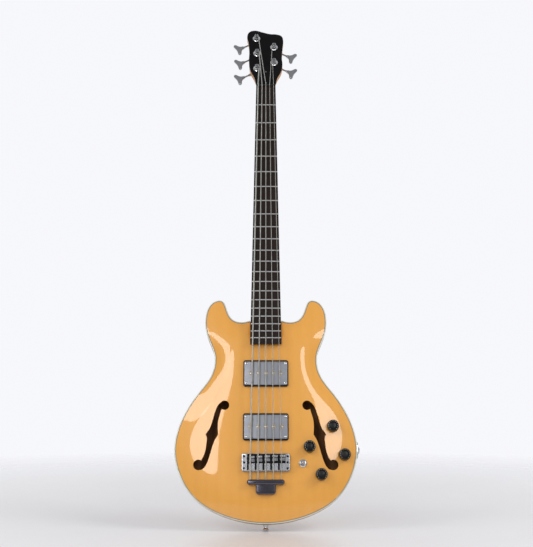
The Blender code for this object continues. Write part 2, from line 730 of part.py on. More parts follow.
def make_body():
    """Rim, plates and block, cut for all that goes through them."""
    binding_low = RIM - BINDING_HEIGHT
    side_top = binding_low - CLEARANCE
    lining_top = RIM - PLATE_THICKNESS - CLEARANCE
    sides = strip("sides", "maple", 0.0, SIDE_THICKNESS, -side_top, side_top)
    top_lining = strip("top_lining", "inner_wood", LINING_INSET, LINING_WIDTH,
                       lining_top - LINING_HEIGHT, lining_top)
    strip("back_lining", "inner_wood", LINING_INSET, LINING_WIDTH, -lining_top, LINING_HEIGHT - lining_top)
    top_binding = strip("top_binding", "cream", 0.0, BINDING_WIDTH, binding_low, RIM)
    strip("back_binding", "cream", 0.0, BINDING_WIDTH, -RIM, -binding_low)
    top = domed_solid("top_plate", "gold_top", TOP_HEIGHTS, TOP_HEIGHTS - PLATE_THICKNESS)
    back = domed_solid("back_plate", "gold_top", BACK_HEIGHTS + PLATE_THICKNESS, BACK_HEIGHTS)

    inside = domed_solid("inside_of_body", None, TOP_HEIGHTS - PLATE_THICKNESS - CLEARANCE,
                         BACK_HEIGHTS + PLATE_THICKNESS + CLEARANCE)
    block_top = BODY_BOTTOM + NECK_EDGE_Y + RIM
    block = box("center_block", "inner_wood", (-BLOCK_WIDTH / 2, -RIM, -2 * RIM),
                (BLOCK_WIDTH / 2, block_top, 2 * RIM))
    boolean(block, "INTERSECT", inside)
    lining_cut = LINING_WIDTH + CLEARANCE
    upper_notch = strip("upper_lining_notch", None, PLATE_INSET - CLEARANCE, lining_cut + CLEARANCE,
                        lining_top - LINING_HEIGHT - CLEARANCE, RIM)
    lower_notch = strip("lower_lining_notch", None, PLATE_INSET - CLEARANCE, lining_cut + CLEARANCE,
                        -RIM, LINING_HEIGHT + CLEARANCE - lining_top)
    boolean(block, "DIFFERENCE", upper_notch, lower_notch)

    pocket_half = board_half_width(TENON_START_Y) + CLEARANCE
    pocket = box("neck_pocket", None, (-pocket_half, TENON_START_Y - CLEARANCE, HEEL_BOTTOM - CLEARANCE),
                 (pocket_half, HEEL_Y + RIM, 2 * RIM))
    for piece in (sides, top_lining, top_binding, top, block):
        boolean(piece, "DIFFERENCE", pocket)

    for side, sign in (("right", 1.0), ("left", -1.0)):
        boolean(top, "DIFFERENCE", *f_hole_cutters(side, sign))
    for place, middle in (("neck", NECK_PICKUP_Y), ("bridge", BRIDGE_PICKUP_Y)):
        cavity = pickup_cavity(place, BODY_BOTTOM + middle)
        boolean(top, "DIFFERENCE", cavity)
        boolean(block, "DIFFERENCE", cavity, wire_hole(place, BODY_BOTTOM + middle))
    for number, (x, y) in enumerate(KNOB_PLACES, 1):
        hole = rod(f"pot_hole_{number}", None, POT_BUSHING_RADIUS + CLEARANCE, 2 * RIM,
                   (x, BODY_BOTTOM + y, 0.0), sides=8)
        boolean(top, "DIFFERENCE", hole)
    x, y = SWITCH_PLACE
    boolean(top, "DIFFERENCE", rod("switch_hole", None, SWITCH_BUSHING_RADIUS + CLEARANCE, 2 * RIM,
                                   (x, BODY_BOTTOM + y, 0.0)))
    jack_hole = rod("jack_hole", None, JACK_SLEEVE_RADIUS + CLEARANCE, JACK_LENGTH,
                    (LOWER_BOUT_WIDTH / 2 - JACK_LENGTH / 2, BODY_BOTTOM + LOWER_BOUT_Y, 0.0),
                    (0.0, pi / 2, 0.0), sides=10)
    screw = (BUTTON_SCREW_RADIUS + CLEARANCE, BUTTON_SCREW_LENGTH + CLEARANCE)
    end_screw = rod("end_screw_hole", None, *screw, (0.0, BODY_BOTTOM - CLEARANCE, 0.0), (-pi / 2, 0.0, 0.0))
    heel_screw = rod("heel_screw_hole", None, *screw,
                     (0.0, BODY_BOTTOM + HEEL_BUTTON_Y, BACK_LEVEL - CLEARANCE))
    boolean(sides, "DIFFERENCE", jack_hole, end_screw)
    boolean(block, "DIFFERENCE", end_screw, heel_screw)
    boolean(back, "DIFFERENCE", heel_screw)
    for piece in (sides, top_lining, top_binding, top, back, block):
        merge_flats(piece)


def f_hole_cutters(side, sign):
    """Two drills and a saw cut for one f-hole."""
    reach = 2 * RIM
    drills = []
    for place, centre, radius in (("upper", F_UPPER_EYE, F_UPPER_EYE_RADIUS),
                                  ("lower", F_LOWER_EYE, F_LOWER_EYE_RADIUS)):
        drills.append(rod(f"{side}_{place}_f_eye", None, radius, reach,
                          (sign * centre[0], BODY_BOTTOM + centre[1], 0.0)))
    ux, uy = F_UPPER_EYE
    lx, ly = F_LOWER_EYE
    eye, low_eye = F_UPPER_EYE_RADIUS, F_LOWER_EYE_RADIUS
    stem = [
        (ux + eye * 0.55, uy + eye * 0.70, True),
        (ux + eye * 0.97, uy - eye * 0.10, False),
        (ux + 0.0233, uy - 0.0318, False),
        (ux + 0.0316, uy - 0.0490, False),
        (ux + 0.0389, uy - 0.0605, True),
        (ux + 0.0362, uy - 0.0680, False),
        (lx - 0.0170, ly + 0.0400, False),
        (lx - 0.0130, ly + 0.0231, False),
        (lx - low_eye * 0.60, ly + low_eye * 0.75, True),
        (lx, ly - low_eye * 0.60, True),
        (lx - low_eye * 0.10, ly - low_eye * 0.97, True),
        (lx - 0.0098, ly - 0.0078, False),
        (lx - 0.0155, ly + 0.0010, False),
        (lx - 0.0237, ly + 0.0189, False),
        (lx - 0.0309, ly + 0.0400, False),
        (lx - 0.0381, ly + 0.0549, False),
        (lx - 0.0432, ly + 0.0645, True),
        (ux + 0.0134, uy - 0.0488, False),
        (ux + 0.0125, uy - 0.0295, False),
        (ux + 0.0092, uy - 0.0165, False),
        (ux + eye * 0.42, uy - eye * 0.88, True),
    ]
    loop = [(sign * x, y, corner) for x, y, corner in stem]
    saw = flat_curve(f"{side}_f_stem", None, [loop], 0.0, reach, resolution=1, location=(0.0, BODY_BOTTOM))
    return [*drills, as_mesh(saw, None)]


def pickup_cavity(place, middle):
    """The rectangular rout that a pickup sits in."""
    width = PICKUP_WIDTH + 2 * CAVITY_CLEARANCE
    length = PICKUP_LENGTH + 2 * CAVITY_CLEARANCE
    floor = TOP_LEVEL + PICKUP_ABOVE_TOP - PICKUP_HEIGHT - PICKUP_TRAVEL - 2 * CAVITY_CLEARANCE
    return plate(f"{place}_pickup_cavity", None, width, length, PICKUP_CORNER, floor, 2 * RIM, (0.0, middle))


def wire_hole(place, middle):
    """The drilling that leads a pickup's wires to the treble chamber."""
    level = TOP_LEVEL - PLATE_THICKNESS - PICKUP_HEIGHT / 2
    return rod(f"{place}_wire_hole", None, WIRE_HOLE_RADIUS, BLOCK_WIDTH, (0.0, middle, level),
               (0.0, pi / 2, 0.0), sides=12)


# Neck pieces


def neck_section(centre_y, half_width, top, bottom, squareness, place):
    """One section of the neck: a flat face and a round back, more square with a higher power."""
    steps = 8
    power = 2.0 / squareness
    points = []
    for i in range(steps + 1):
        angle = pi * i / steps
        across = abs(cos(angle)) ** power * (1 if cos(angle) >= 0 else -1)
        down = sin(angle) ** power if 0 < i < steps else 0.0
        points.append(place @ Vector((half_width * across, centre_y, top - (top - bottom) * down)))
    return points


def head_outline(start):
    """The headstock's outline in its own plane, from a start line near the nut."""
    half = NUT_WIDTH / 2 + HEAD_FLARE * start
    loop = [(-half, start, True)]
    loop += [(x, y, False) for x, y in HEAD_LEFT_EDGE + HEAD_TOP_EDGE + HEAD_RIGHT_EDGE]
    return loop + [(half, start, True)]


def make_neck():
    """Neck, fretboard, headstock overlay, nut and truss rod."""
    straight = Matrix.Identity(4)
    tilted = Matrix.Translation((0.0, NUT_Y + NUT_THICKNESS, HEAD_FACE_LEVEL)) @ \
        Matrix.Rotation(-radians(HEAD_ANGLE), 4, "X")
    half_nut = NUT_WIDTH / 2
    head_bottom = -HEAD_THICKNESS
    rear = NUT_Y + NUT_THICKNESS - 0.001
    along = [
        (TENON_START_Y, HEEL_BOTTOM, 30.0), (HEEL_Y, HEEL_BOTTOM, 14.0),
        (HEEL_Y + 0.012, HEEL_BOTTOM + 0.0025, 4.2), (HEEL_Y + 0.028, HEEL_BOTTOM + 0.0070, 2.9),
        (HEEL_Y + 0.050, SHAFT_BOTTOM_LOW - 0.0006, 2.4), (fret_y(12), SHAFT_BOTTOM_LOW, 2.2),
        (fret_y(1), SHAFT_BOTTOM_NUT, 2.2),
    ]
    sections = [neck_section(y, board_half_width(max(y, TENON_START_Y)), NECK_TOP, bottom, power, straight)
                for y, bottom, power in along]
    sections.append(neck_section(rear, half_nut, NECK_TOP, SHAFT_BOTTOM_NUT, 2.3, straight))
    head_top = HEAD_WOOD_TOP - 0.0001
    for share, power, shrink in ((0.1, 2.6, -0.0006), (0.5, 4.0, 0.0), (0.85, 9.0, 0.0), (1.2, 20.0, 0.0002)):
        up = HEAD_SLAB_START * share
        sections.append(neck_section(up, half_nut + HEAD_FLARE * up - max(0.0001, shrink), head_top,
                                     head_bottom + shrink, power, tilted))
    neck = loft("neck", "maple", sections)
    slab = as_mesh(flat_curve("head_slab", None, [head_outline(HEAD_SLAB_START)], head_bottom,
                              HEAD_WOOD_TOP, head_plane, 2), None)
    boolean(neck, "UNION", slab)
    overlay = as_mesh(flat_curve("headstock_overlay", "black_gloss", [head_outline(CLEARANCE)],
                                 -OVERLAY_THICKNESS, 0.0, head_plane, 2), "black_gloss")

    slot_half = TRUSS_ROD_RADIUS + CLEARANCE
    slot_end = NUT_Y + NUT_THICKNESS + COVER_LENGTH * 0.6
    slot = box("truss_rod_slot", None,
               (-slot_half, TENON_START_Y + 0.012, TRUSS_ROD_LEVEL - slot_half),
               (slot_half, slot_end, 2 * RIM))
    boolean(neck, "DIFFERENCE", slot)
    boolean(overlay, "DIFFERENCE", slot)
    rounded(rod("truss_rod", "satin_chrome", TRUSS_ROD_RADIUS, slot_end - TENON_START_Y - 0.022,
                (0.0, TENON_START_Y + 0.014, TRUSS_ROD_LEVEL), (-pi / 2, 0.0, 0.0), sides=12))
    for number, (x, y) in enumerate(POST_PLACES, 1):
        hole = rod(f"tuner_hole_{number}", None, BUSHING_RADIUS + CLEARANCE, 2 * RIM, (x, y, -RIM),
                   parent=head_plane, sides=10)
        boolean(neck, "DIFFERENCE", hole)
        boolean(overlay, "DIFFERENCE", hole)
    rounded(neck, 30.0)
    merge_flats(neck)
    merge_flats(overlay)
    make_fretboard()
    make_nut()
    plate("truss_rod_cover", "black_gloss", COVER_WIDTH, COVER_LENGTH, 0.003, CLEARANCE,
          CLEARANCE + COVER_THICKNESS, (0.0, COVER_START + COVER_LENGTH / 2), head_plane)


def make_fretboard():
    """The round-faced board with its frets let in."""
    across = 3

    def board_section(y):
        half = board_half_width(y)
        top = [(half * (2 * i / across - 1), y, BOARD_TOP - radius_drop(half * (2 * i / across - 1)))
               for i in range(across + 1)]
        low = BOARD_TOP - BOARD_THICKNESS
        return [Vector(point) for point in top] + [Vector((half, y, low)), Vector((-half, y, low))]

    end = NUT_Y - CLEARANCE
    board = loft("fretboard", "dark_board", [board_section(BOARD_END_Y), board_section(end)])
    frets = bmesh.new()
    tang = FRET_HEIGHT / 2
    for number in range(1, FRET_COUNT + 1):
        middle = fret_y(number)
        half = board_half_width(middle) - CLEARANCE
        profile = ((-0.5, -tang), (-0.28, FRET_HEIGHT), (0.28, FRET_HEIGHT), (0.5, -tang))
        rings = []
        for step in range(across + 1):
            x = half * (2 * step / across - 1)
            level = BOARD_TOP - radius_drop(x)
            rings.append([frets.verts.new((x, middle + FRET_WIDTH * u, level + v)) for u, v in profile])
        for first, second in zip(rings, rings[1:]):
            for i in range(len(profile)):
                frets.faces.new((first[i - 1], first[i], second[i], second[i - 1]))
        frets.faces.new(rings[0])
        frets.faces.new(rings[-1])
    wire = add_object("fret_wire", mesh_of("fret_wire", frets), None)
    boolean(board, "UNION", wire)
    merge_flats(board)


def make_nut():
    """The slotted nut between the board and the headstock."""
    half = NUT_WIDTH / 2
    low = NECK_TOP + CLEARANCE
    nut = box("nut", "bone", (-half, NUT_Y, low), (half, NUT_Y + NUT_THICKNESS, STRING_LEVEL_NUT + 0.0004))
    for number in range(STRING_COUNT):
        centre = string_point(number, NUT_Y)
        radius = STRING_RADII[number] + CLEARANCE
        slot = rod(f"nut_slot_{number + 1}", None, radius, 4 * NUT_THICKNESS,
                   (centre.x, NUT_Y - 2 * NUT_THICKNESS, centre.z), (-pi / 2, 0.0, 0.0), sides=8)
        crown = box(f"nut_opening_{number + 1}", None, (centre.x - radius, NUT_Y - NUT_THICKNESS, centre.z),
                    (centre.x + radius, NUT_Y + 2 * NUT_THICKNESS, centre.z + 0.01))
        boolean(nut, "DIFFERENCE", slot, crown)


# Tuning machines


def make_tuner(number):
    """Housing, post and key of one machine."""
    x, y = POST_PLACES[number]
    name = number + 1
    side = -1.0 if x < 0 else 1.0
    slope = radians(KEY_SLOPE)
    outward = Vector((side * cos(slope), -sin(slope), 0.0))
    upward = Vector((side * sin(slope), cos(slope), 0.0))
    back = -HEAD_THICKNESS - CLEARANCE
    case_bottom = back - CASE_HEIGHT
    worm_level = back - WORM_DEPTH
    bore = POST_RADIUS + CLEARANCE
    bore_floor = case_bottom + 0.0016
    plate_level = back - BASE_PLATE_THICKNESS
    housing = turned(f"tuner_housing_{name}", "satin_chrome", [
        (0.0, WASHER_HEIGHT), (WASHER_RADIUS * 0.8, WASHER_HEIGHT), (WASHER_RADIUS, CLEARANCE),
        (BUSHING_RADIUS, CLEARANCE), (BUSHING_RADIUS, back), (CASE_RADIUS, back),
        (CASE_RADIUS - 0.0010, case_bottom), (0.0, case_bottom),
    ], (x, y, 0.0), parent=head_plane, sides=10)
    turn = atan2(outward.y, outward.x)
    foot = box(f"tuner_foot_{name}", None, (-BASE_PLATE_WIDTH / 2, -BASE_PLATE_LENGTH / 2, plate_level),
               (BASE_PLATE_WIDTH / 2, BASE_PLATE_LENGTH / 2, back), head_plane)
    foot.location = (x, y, (plate_level + back) / 2)
    foot.rotation_euler = (0.0, 0.0, turn)
    nearest = Vector((x, y, worm_level)) + upward * WORM_OFFSET
    spin = (0.0, pi / 2, turn)
    bearing = rod(f"tuner_bearing_{name}", None, BEARING_RADIUS, BEARING_REACH, nearest, spin, head_plane, 8)
    shaft_bore = rod(f"tuner_bore_{name}", None, KEY_SHAFT_RADIUS + CLEARANCE, KEY_REACH,
                     nearest - outward * SHAFT_BORE_DEPTH, spin, head_plane, 8)
    boolean(housing, "UNION", foot, bearing)
    post_bore = rod(f"post_bore_{name}", None, bore, 2 * WASHER_HEIGHT - bore_floor, (x, y, bore_floor),
                    parent=head_plane, sides=10)
    boolean(housing, "DIFFERENCE", shaft_bore, post_bore)

    turned(f"tuner_post_{name}", "satin_chrome", [
        (0.0, POST_HEIGHT), (POST_CAP_RADIUS - 0.0008, POST_HEIGHT), (POST_CAP_RADIUS, POST_HEIGHT - 0.0008),
        (POST_CAP_RADIUS, POST_HEIGHT - 0.0018), (POST_WAIST_RADIUS, POST_HEIGHT - 0.0030),
        (POST_WAIST_RADIUS, WASHER_HEIGHT + 0.0006), (POST_RADIUS, WASHER_HEIGHT),
        (POST_RADIUS, bore_floor + CLEARANCE), (0.0, bore_floor + CLEARANCE),
    ], (x, y, 0.0), parent=head_plane, sides=8)

    place = nearest + outward * KEY_REACH
    key = flat_curve(f"tuner_key_{name}", "satin_chrome", [key_outline()], -KEY_THICKNESS / 2,
                     KEY_THICKNESS / 2, head_plane, 2)
    key.location = place
    key.rotation_euler = (0.0, 0.0, turn)
    key = as_mesh(key, "satin_chrome")
    shaft_inner = SHAFT_BORE_DEPTH - CLEARANCE
    shaft = rod(f"key_shaft_{name}", None, KEY_SHAFT_RADIUS, KEY_REACH + shaft_inner - KEY_COLLAR_LENGTH,
                nearest - outward * shaft_inner, spin, head_plane, 8)
    collar = rod(f"key_collar_{name}", None, KEY_SHAFT_RADIUS * 1.5, KEY_COLLAR_LENGTH,
                 place - outward * KEY_COLLAR_START, spin, head_plane, 8)
    boolean(key, "UNION", shaft, collar)


def key_outline():
    """A three-lobed key: a collar towards the shaft and two ears outwards."""
    half = [(-0.0095, 0.0026, False), (-0.0040, 0.0044, False), (0.0015, 0.0086, False),
            (0.0048, 0.0136, False), (0.0092, 0.0146, False), (0.0106, 0.0106, False),
            (0.0088, 0.0045, False)]
    other = [(x, -y, corner) for x, y, corner in reversed(half)]
    return half + other


# Strings


def make_string(number):
    """One string from its ball end, over its saddle and the nut, and round its post."""
    radius = STRING_RADII[number]
    x_tail = string_x(number, STRING_SPREAD_BRIDGE)
    tail_front = BODY_BOTTOM + TAIL_BAR_Y + TAIL_BAR_LENGTH / 2
    crest = string_point(number, saddle_y(number))
    lift = Vector((0.0, 0.0, CLEARANCE))
    at_nut = string_point(number, NUT_Y)
    rear = Vector((at_nut.x, NUT_Y + NUT_THICKNESS, at_nut.z))
    break_point = string_point(number, saddle_y(number) - SADDLE_BACKWARD - 0.001)
    points = [
        Vector((x_tail, tail_front - TAIL_HOLE_DEPTH + CLEARANCE, TAIL_STRING_LEVEL)),
        Vector((x_tail, tail_front + 0.001, TAIL_STRING_LEVEL)),
        break_point + lift, crest + lift, at_nut, rear,
    ]
    to_bench = Matrix.Translation((0.0, NUT_Y + NUT_THICKNESS, HEAD_FACE_LEVEL)) @ \
        Matrix.Rotation(-radians(HEAD_ANGLE), 4, "X")
    points += [to_bench @ point for point in wrap_points(number, to_bench.inverted() @ rear)]
    curve = bpy.data.curves.new(f"string_{number + 1}", "CURVE")
    curve.dimensions = "3D"
    curve.bevel_depth = radius
    curve.bevel_resolution = 1
    curve.use_fill_caps = True
    spline = curve.splines.new("POLY")
    spline.points.add(len(points) - 1)
    for target, point in zip(spline.points, points):
        target.co = (*point, 1.0)
    return add_object(f"string_{number + 1}", curve, "string_steel")


def wrap_points(number, start):
    """The run from the nut to the post and the turns round it, in the headstock's plane."""
    radius = STRING_RADII[number]
    x, y = POST_PLACES[number]
    side = -1.0 if x < 0 else 1.0
    around = POST_WAIST_RADIUS + CLEARANCE + radius
    centre = Vector((x, y))
    run = centre - start.to_2d()
    reach = sqrt(run.length_squared - around ** 2)
    tilt = atan2(around, reach)
    heading = atan2(run.y, run.x) + side * tilt
    first = heading + side * pi / 2
    pitch = 2 * radius + CLEARANCE
    per_turn = 9
    top = WRAP_LEVEL - radius
    lowest = WASHER_HEIGHT + CLEARANCE + radius
    steps = int(per_turn * min(STRING_TURNS, (top - lowest) / pitch))
    points = []
    for step in range(steps + 1):
        angle = first - side * 2 * pi * step / per_turn
        level = top - pitch * step / per_turn
        points.append(Vector((x + around * cos(angle), y + around * sin(angle), level)))
    return points


# Pickups, bridge and tailpiece


def make_pickup(place, middle):
    """A mounting ring and the pickup that rises and sinks in it."""
    y = BODY_BOTTOM + middle
    opening = (PICKUP_WIDTH + 2 * RING_CLEARANCE, PICKUP_LENGTH + 2 * RING_CLEARANCE, PICKUP_CORNER)
    ring_low = TOP_LEVEL + CLEARANCE
    plate(f"{place}_pickup_ring", "black_plastic", RING_WIDTH, RING_LENGTH, PICKUP_CORNER + 0.001,
          ring_low, ring_low + RING_HEIGHT, (0.0, y), hole=opening)
    top = TOP_LEVEL + PICKUP_ABOVE_TOP
    cover = plate(f"{place}_pickup", "brushed_cover", PICKUP_WIDTH, PICKUP_LENGTH, PICKUP_CORNER,
                  top - PICKUP_HEIGHT, top, (0.0, y))
    bevel(cover, 0.0008, 1, 60.0)


def make_bridge():
    """The bridge's tray and its five saddles."""
    low = TOP_LEVEL + CLEARANCE
    high = low + BRIDGE_HEIGHT
    middle = SADDLE_LINE - BRIDGE_SETBACK
    base = plate("bridge_base", "satin_chrome", BRIDGE_WIDTH, BRIDGE_LENGTH, BRIDGE_CORNER, low, high,
                 (0.0, middle))
    lefts = [string_x(number, STRING_SPREAD_BRIDGE) + SADDLE_SHIFT - SADDLE_WIDTH / 2
             for number in range(STRING_COUNT)]
    tray_left = lefts[0] - SLOT_WIDTH
    tray_right = lefts[-1] + SADDLE_WIDTH + 2 * CLEARANCE
    tray_front = middle + BRIDGE_LENGTH / 2 - BRIDGE_WALL
    tray_rear = tray_front - TRAY_LENGTH
    floor = low + TRAY_FLOOR
    tray = box("bridge_tray", None, (tray_left, tray_rear, floor), (tray_right, tray_front, high + RIM))
    boolean(base, "DIFFERENCE", tray)
    for number, left in enumerate(lefts, 1):
        slot = box(f"bridge_slot_{number}", None, (left - SLOT_WIDTH, tray_rear - SLOT_LENGTH, floor),
                   (left - 2 * CLEARANCE, tray_rear + CLEARANCE, high + RIM))
        boolean(base, "DIFFERENCE", slot)
    end = (BRIDGE_WIDTH + tray_right - tray_left) / 4
    for side in (-1.0, 1.0):
        for row in (-1.0, 0.0, 1.0):
            radius = BRIDGE_HOLE_RADIUS * (1.35 if row == 0.0 else 1.0)
            hole = rod(f"bridge_hole_{int(side)}_{int(row)}", None, radius, BRIDGE_HEIGHT,
                       (side * end, middle + row * BRIDGE_LENGTH * 0.34, low + BRIDGE_HEIGHT * 0.5), sides=8)
            boolean(base, "DIFFERENCE", hole)
    for number in range(STRING_COUNT):
        make_saddle(number, floor + CLEARANCE)


def make_saddle(number, low):
    """A saddle block with its crest under the string and a groove for it."""
    crest = string_point(number, saddle_y(number))
    radius = STRING_RADII[number]
    top = crest.z + radius * 0.3
    body_top = TOP_LEVEL + BRIDGE_HEIGHT + 0.0012
    crown = 0.0010
    profile = [(-SADDLE_REAR, low), (SADDLE_FRONT, low), (SADDLE_FRONT, top - crown), (crown, top),
               (-crown, top), (-2.2 * crown, top - crown), (-SADDLE_REAR * 0.4, body_top + crown),
               (-SADDLE_REAR, body_top)]
    left = crest.x + SADDLE_SHIFT - SADDLE_WIDTH / 2
    sections = [[Vector((x, crest.y + u, v)) for u, v in profile] for x in (left, left + SADDLE_WIDTH)]
    saddle = loft(f"saddle_{number + 1}", "satin_chrome", sections)
    groove = rod(f"saddle_groove_{number + 1}", None, radius + CLEARANCE, 2 * SADDLE_REAR,
                 (crest.x, crest.y - SADDLE_REAR, crest.z + CLEARANCE), (-pi / 2, 0.0, 0.0), sides=8)
    boolean(saddle, "DIFFERENCE", groove)


def make_tailpiece():
    """The bar that holds the ball ends, on a broad middle tongue."""
    low = TOP_LEVEL + CLEARANCE
    y = BODY_BOTTOM + TAIL_BAR_Y
    bar = plate("tailpiece", "dark_chrome", TAIL_BAR_WIDTH, TAIL_BAR_LENGTH, 0.003, low,
                low + TAIL_BAR_HEIGHT, (0.0, y))
    tongue_middle = y + TAIL_BAR_LENGTH / 2 - TAIL_TONGUE_LENGTH / 2 - 0.002
    tongue = plate("tail_tongue", None, TAIL_TONGUE_WIDTH, TAIL_TONGUE_LENGTH, 0.004, low + 0.0002,
                   low + TAIL_TONGUE_HEIGHT, (0.0, tongue_middle))
    boolean(bar, "UNION", tongue)
    for number in range(STRING_COUNT):
        front = y + TAIL_BAR_LENGTH / 2
        hole = rod(f"tail_hole_{number + 1}", None, STRING_RADII[number] + CLEARANCE, 2 * TAIL_HOLE_DEPTH,
                   (string_x(number, STRING_SPREAD_BRIDGE), front - TAIL_HOLE_DEPTH, TAIL_STRING_LEVEL),
                   (-pi / 2, 0.0, 0.0), sides=8)
        boolean(bar, "DIFFERENCE", hole)


# Controls and buttons


def make_control(number):
    """A potentiometer hung in the top and the knob on its shaft."""
    x, y = KNOB_PLACES[number][0], BODY_BOTTOM + KNOB_PLACES[number][1]
    level = top_level_at(x, y)
    steepest = max(top_level_at(x + POT_RADIUS * u, y + POT_RADIUS * v)
                   for u, v in ((1, 0), (-1, 0), (0, 1), (0, -1)))
    lowest = min(top_level_at(x + POT_RADIUS * u, y + POT_RADIUS * v)
                 for u, v in ((1, 0), (-1, 0), (0, 1), (0, -1)))
    seat = steepest + 0.0008
    housing_top = lowest - PLATE_THICKNESS - 0.0008
    bushing_top = seat + POT_NUT_HEIGHT + 0.001
    bore = POT_SHAFT_RADIUS + CLEARANCE
    bore_floor = housing_top - 0.002
    turned(f"pot_{number + 1}", "satin_chrome", [
        (0.0, bore_floor), (bore, bore_floor), (bore, bushing_top), (POT_BUSHING_RADIUS, bushing_top),
        (POT_BUSHING_RADIUS, seat + POT_NUT_HEIGHT), (POT_NUT_RADIUS, seat + POT_NUT_HEIGHT),
        (POT_NUT_RADIUS, seat), (POT_BUSHING_RADIUS, seat), (POT_BUSHING_RADIUS, housing_top),
        (POT_RADIUS, housing_top), (POT_RADIUS, housing_top - POT_HEIGHT), (0.0, housing_top - POT_HEIGHT),
    ], (x, y, 0.0), sides=8)
    foot = level + KNOB_LIFT
    head = foot + KNOB_HEIGHT
    recess = foot + KNOB_RECESS_HEIGHT
    turned(f"knob_{number + 1}", "black_plastic", [
        (0.0, head), (KNOB_TOP_RADIUS - 0.0012, head),
        (KNOB_TOP_RADIUS, head - 0.0012), (KNOB_RADIUS, foot + 0.0012), (KNOB_RADIUS - 0.0006, foot),
        (KNOB_RECESS_RADIUS, foot), (KNOB_RECESS_RADIUS, recess), (POT_SHAFT_RADIUS, recess),
        (POT_SHAFT_RADIUS, bore_floor + CLEARANCE), (0.0, bore_floor + CLEARANCE),
    ], (x, y, 0.0))


def make_switch():
    """The selector switch and its lever, which tips about a ball in the bushing."""
    x, y = SWITCH_PLACE[0], BODY_BOTTOM + SWITCH_PLACE[1]
    level = top_level_at(x, y)
    highest = max(top_level_at(x + SWITCH_WASHER_RADIUS * u, y + SWITCH_WASHER_RADIUS * v)
                  for u, v in ((1, 0), (-1, 0), (0, 1), (0, -1)))
    seat = highest + CLEARANCE
    top = seat + SWITCH_BUSHING_HEIGHT
    body_top = level - PLATE_THICKNESS - 0.0025
    pivot = seat
    bore = LEVER_BALL_RADIUS + CLEARANCE
    floor = pivot - LEVER_BALL_RADIUS - CLEARANCE
    housing = turned("toggle_switch", "chrome", [
        (0.0, floor), (bore, floor), (bore, pivot + LEVER_BALL_RADIUS * 0.6),
        (SWITCH_BUSHING_RADIUS - 0.0012, top), (SWITCH_BUSHING_RADIUS, top),
        (SWITCH_BUSHING_RADIUS, seat + 0.0018), (SWITCH_WASHER_RADIUS, seat + 0.0012),
        (SWITCH_WASHER_RADIUS, seat), (SWITCH_BUSHING_RADIUS, seat), (SWITCH_BUSHING_RADIUS, body_top),
        (0.0, body_top),
    ], (x, y, 0.0))
    body = box("switch_body", None,
               (x - SWITCH_BODY_WIDTH / 2, y - SWITCH_BODY_LENGTH / 2, body_top - SWITCH_BODY_HEIGHT),
               (x + SWITCH_BODY_WIDTH / 2, y + SWITCH_BODY_LENGTH / 2, body_top + 0.0005))
    boolean(housing, "UNION", body)
    ball = LEVER_BALL_RADIUS
    arc = [(ball * sin(radians(a)), -ball * cos(radians(a))) for a in range(0, 150, 25)]
    stem = [(LEVER_RADIUS, ball * 1.1), (LEVER_RADIUS, LEVER_LENGTH - 2.2 * LEVER_TIP_RADIUS),
            (LEVER_TIP_RADIUS, LEVER_LENGTH - 1.4 * LEVER_TIP_RADIUS),
            (LEVER_TIP_RADIUS, LEVER_LENGTH - 0.6 * LEVER_TIP_RADIUS),
            (LEVER_TIP_RADIUS * 0.5, LEVER_LENGTH), (0.0, LEVER_LENGTH)]
    profile = list(reversed(stem)) + list(reversed(arc))
    profile[-1] = (0.0, -ball)
    turned("toggle_lever", "chrome", profile, (x, y, pivot), sides=8)


def make_jack():
    """The output jack, its bore along x, and the plate it clamps to the side."""
    side = LOWER_BOUT_WIDTH / 2
    y = BODY_BOTTOM + LOWER_BOUT_Y
    plate_inner = side + CLEARANCE
    plate_outer = plate_inner + JACK_PLATE_THICKNESS
    nut_inner = plate_outer + CLEARANCE
    outer = nut_inner + JACK_NUT_HEIGHT + 0.001
    shoulder = side - SIDE_THICKNESS - JACK_SHOULDER_GAP
    inner = outer - JACK_LENGTH
    floor = outer - JACK_BORE_DEPTH
    turned("output_jack", "chrome", [
        (0.0, floor), (JACK_BORE_RADIUS, floor), (JACK_BORE_RADIUS, outer), (JACK_SLEEVE_RADIUS, outer),
        (JACK_SLEEVE_RADIUS, nut_inner + JACK_NUT_HEIGHT), (JACK_NUT_RADIUS, nut_inner + JACK_NUT_HEIGHT),
        (JACK_NUT_RADIUS, nut_inner), (JACK_SLEEVE_RADIUS, nut_inner), (JACK_SLEEVE_RADIUS, shoulder),
        (JACK_BODY_RADIUS, shoulder), (JACK_BODY_RADIUS, inner), (0.0, inner),
    ], (0.0, y, 0.0), (0.0, pi / 2, 0.0), sides=10)
    hole = 2 * (JACK_SLEEVE_RADIUS + 2 * CLEARANCE)
    cover = plate("jack_plate", "chrome", JACK_PLATE_DEPTH, JACK_PLATE_LENGTH, 0.006, plate_inner,
                  plate_outer, hole=(hole, hole, hole / 2 - 0.0001))
    cover.location = (plate_inner + JACK_PLATE_THICKNESS / 2, y, 0.0)
    cover.rotation_euler = (0.0, pi / 2, 0.0)


